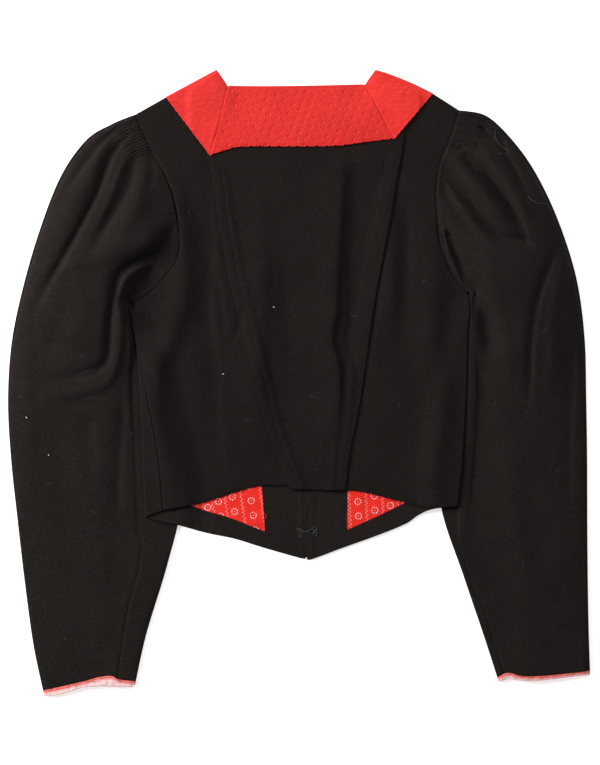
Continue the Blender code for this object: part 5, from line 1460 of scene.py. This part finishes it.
def edging_cloth(name, base, worn):
    """The cuff's red edging, more or less worn."""
    values = {"Base": base, "Worn": worn, "Thread Size": 0.6, "Thread Depth": 0.4, "Nap": 0.4, "Slubs": 0.2,
              "Mottle": 0.4, "Roughness Base": 0.6}
    return surface(name, weave, values, specular=0.25, bump=(0.4, 0.4), sheen=0.05, tint=(1, 0.6, 0.6))[0]


def printed_cloth(name, settings):
    """The printed lining of one side, from where its first flower stands."""
    values = {"Thread Size": 0.5, "Thread Depth": 0.35, "Nap": 0.25, "Slubs": 0.1, "Roughness Base": 0.62}
    made, node = surface(name, weave, values, specular=0.2, bump=(0.3, 0.3))
    printed = add_group(made.node_tree, flowers, settings)
    for label in ("Base", "Worn"):
        made.node_tree.links.new(printed.outputs["Base Color"], node.inputs[label])
    return made


def thread_finish(name, base, worn, roughness, specular, metallic=0.0, scale=3.0):
    """Thread, lint, wire or paper. The larger the scale, the shorter its uneven stretches."""
    values = {"Base": base, "Worn": worn, "Scale": scale, "Roughness Base": roughness}
    return surface(name, threads, values, specular, bump=(0.2, 0.1), metallic=metallic)[0]


weave = woven_cloth_group()
flowers = flower_print_group()
threads = uneven_thread_group()
wool = wool_cloth("black_wool_cloth", WOOL_DARK, WOOL_LIGHT)
paler_wool = wool_cloth("paler_wool_cloth", PALER_DARK, PALER_LIGHT)
quilted_red = red_cloth("red_quilted_cloth", YOKE_RED, YOKE_LIGHT, 0.4, {
    "Thread Size": 0.7, "Thread Depth": 0.5, "Nap": 0.3, "Slubs": 0.2, "Roughness Base": 0.78})
left_red = red_cloth("red_plain_cloth", YOKE_RED, YOKE_LIGHT, 0.5, {
    "Thread Size": 0.8, "Thread Depth": 0.4, "Nap": 0.3, "Slubs": 0.8, "Roughness Base": 0.8})
# The right yoke end: a lighter copy of the plain red, as painted light that offsets the shade on its slope
right_red_painted_light = red_cloth("plain_red_cloth_painted_light", RED_WITH_PAINTED_LIGHT, PALE_RED_WITH_PAINTED_LIGHT, 0.5, {
    "Thread Size": 0.8, "Thread Depth": 0.4, "Nap": 0.4, "Slubs": 1.2, "Roughness Base": 0.8})
edging = [edging_cloth("red_cuff_cloth", EDGE_RED, EDGE_PINK),
          edging_cloth("worn_cuff_cloth", EDGE_PINK, EDGE_PALE),
          edging_cloth("pale_cuff_cloth", EDGE_PALE, EDGE_WHITE)]
lining = {side: printed_cloth(f"lining_print_{side}", settings) for side, settings in PRINTS.items()}
# Topstitching thread: a little paler than the wool, as painted sheen of the thread
black_thread_painted_sheen = thread_finish("black_sewing_thread_painted_sheen", (0.006, 0.0055, 0.005), (0.020, 0.018, 0.016),
                             roughness=0.7, specular=0.15)
red_thread = thread_finish("red_sewing_thread", (0.55, 0.02, 0.02), (0.80, 0.05, 0.05),
                           roughness=0.6, specular=0.2)
grey_thread = thread_finish("grey_loop_thread", (0.03, 0.03, 0.03), (0.12, 0.12, 0.12),
                            roughness=0.6, specular=0.2)
lint = thread_finish("pale_lint", (0.50, 0.48, 0.45), (0.85, 0.83, 0.80), roughness=0.8, specular=0.1)
fine_lint = thread_finish("fine_lint", (0.034, 0.031, 0.028), (0.095, 0.088, 0.080),
                          roughness=0.8, specular=0.1)
wire = thread_finish("dark_wire", (0.025, 0.025, 0.025), (0.08, 0.08, 0.08),
                     roughness=0.45, specular=0.4, metallic=0.6)

# The jacket

pieces = {}


def add_piece(made, slot, *nodes):
    """Put a piece on the body, and in the place of its solid if it has one. Its slot is not used."""
    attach(made, "root")
    if nodes:
        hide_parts(*nodes)
    pieces[made.name] = made


add_piece(build_back(wool), "black_wool", "back_centre")
for side in ("left", "right"):
    add_piece(build_back_side(side, wool), "black_wool", f"back_side_{side}")
    add_piece(build_front(side, wool), "black_wool", f"front_{side}")
    if side == "left":
        add_piece(build_side_strip(wool), "black_wool", "front_left")
    facing, band, inside = build_inside(side, paler_wool, lining[side])
    add_piece(facing, "black_wool", f"front_facing_{side}")
    add_piece(band, "black_wool", f"hem_facing_{side}")
    add_piece(inside, "printed_lining", f"lining_{side}")
add_piece(build_yoke_centre(quilted_red), "red_yoke_cloth", "yoke_centre")
for side, red in (("left", left_red), ("right", right_red_painted_light)):
    add_piece(build_yoke_side(side, red), "red_yoke_cloth", f"yoke_{side}")
for side in ("left", "right"):
    add_piece(build_sleeve(side, paler_wool), "black_wool", f"sleeve_{side}")
for side in ("left", "right"):
    add_piece(build_cuff_edge(side, edging), "cuff_edging", f"cuff_edge_{side}")

for name in ("hook", "eye"):
    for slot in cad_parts[name].material_slots:
        slot.material = wire

# Topstitching along both laps
rows = []
for line, distance in (("left_lap", LEFT_STITCH), *(("right_lap", -row) for row in RIGHT_STITCH)):
    path = moved_sideways(LINES[line], distance)
    path = path[(path[:, 1] < STITCH_ENDS[0]) & (path[:, 1] > STITCH_ENDS[1])]
    rows.append(raised(path, middle_top(*path.T) + 0.06))
add_piece(stitches("lap_topstitching", rows, black_thread_painted_sheen), "black_wool")


def laid(path, above):
    """A path on the photo's plane, set on the cloth below it."""
    line = smooth_line(path, 4)
    heights = []
    for x, y in line:
        hits = [piece.ray_cast((x * MM, y * MM, 0.2), (0, 0, -1)) for piece in sheets]
        heights.append(max((hit[1].z / MM for hit in hits if hit[0]), default=0.0) + above)
    return raised(line, heights)


def fibre(place, size, seed):
    """The path of a short curled fibre."""
    turn = np.random.default_rng(seed)
    way = turn.uniform(0, math.tau)
    points = [np.array(place, dtype=float)]
    for _ in range(4):
        points.append(points[-1] + size * np.array((math.cos(way), math.sin(way))))
        way += turn.uniform(-1.5, 1.5)
    return points


# Lint, loose threads and the thread loops that hold the hook and the eye
bpy.context.view_layer.update()
sheets = list(pieces.values())
specks = [laid(fibre(place, SPECK_STEP, SPECK_SEED + k), 0.3) for k, place in enumerate(SPECKS)]
fibres = [laid(fibre(place, FIBRE_STEP, k), 0.1) for k, place in enumerate(FIBRES)]
loops = []
for (x, y), radius in HOOK_LOOPS:
    angles = np.linspace(0, math.tau, 7)
    loops.append(laid([(x + radius * math.cos(a), y + radius * math.sin(a)) for a in angles], 0.35))
for name, paths, radius, finish in (
        ("lint_specks", specks, 0.42, lint),
        ("fine_fibres", fibres, 0.16, fine_lint),
        ("loose_thread", [laid(LOOSE_THREAD, 0.25), laid(SLEEVE_THREAD, 0.2)], 0.3, fine_lint),
        ("red_thread_end", [laid(RED_THREAD_END, 0.2)], 0.22, red_thread),
        ("hook_and_eye_thread", loops, 0.2, grey_thread)):
    add_piece(thread(name, paths, radius, finish), "black_wool")

# Floor, light and camera

corners = [(x * FLOOR_SIZE, y * FLOOR_SIZE, -FLOOR_GAP) for x, y in ((-1, -1), (1, -1), (1, 1), (-1, 1))]
pale = thread_finish("pale_floor", (0.93, 0.93, 0.93), (0.95, 0.95, 0.95), roughness=0.9, specular=0.0,
                     scale=0.02)
paper = pale.node_tree.nodes["Principled BSDF"]
paper.inputs["Emission Color"].default_value = (1, 1, 1, 1)
paper.inputs["Emission Strength"].default_value = FLOOR_GLOW
add_mesh("floor", corners, [(0, 1, 2, 3)], pale)

world = bpy.data.worlds.new("soft_studio")
world.use_nodes = True
world.node_tree.nodes["Background"].inputs["Color"].default_value = (1, 1, 1, 1)
world.node_tree.nodes["Background"].inputs["Strength"].default_value = SKY
bpy.context.scene.world = world


def add_lamp(name, place, size, power):
    """A square light that faces the jacket's middle."""
    data = bpy.data.lights.new(name, "AREA")
    data.shape = "SQUARE"
    data.size = size
    data.energy = power
    lamp = bpy.data.objects.new(name, data)
    lamp.location = place
    lamp.rotation_euler = (-Vector(place)).to_track_quat("-Z", "Y").to_euler()
    bpy.context.scene.collection.objects.link(lamp)


add_lamp("key_light", *KEY_LIGHT)
add_lamp("top_light", *TOP_LIGHT)

camera_data = bpy.data.cameras.new("camera")
camera_data.lens = SENSOR * CAMERA_PLACE[2] / PICTURE_HEIGHT
camera_data.sensor_width = SENSOR
camera = bpy.data.objects.new("camera", camera_data)
camera.location = Vector(CAMERA_PLACE) * MM
bpy.context.scene.collection.objects.link(camera)
bpy.context.scene.camera = camera
bpy.context.scene.view_settings.view_transform = "Standard"
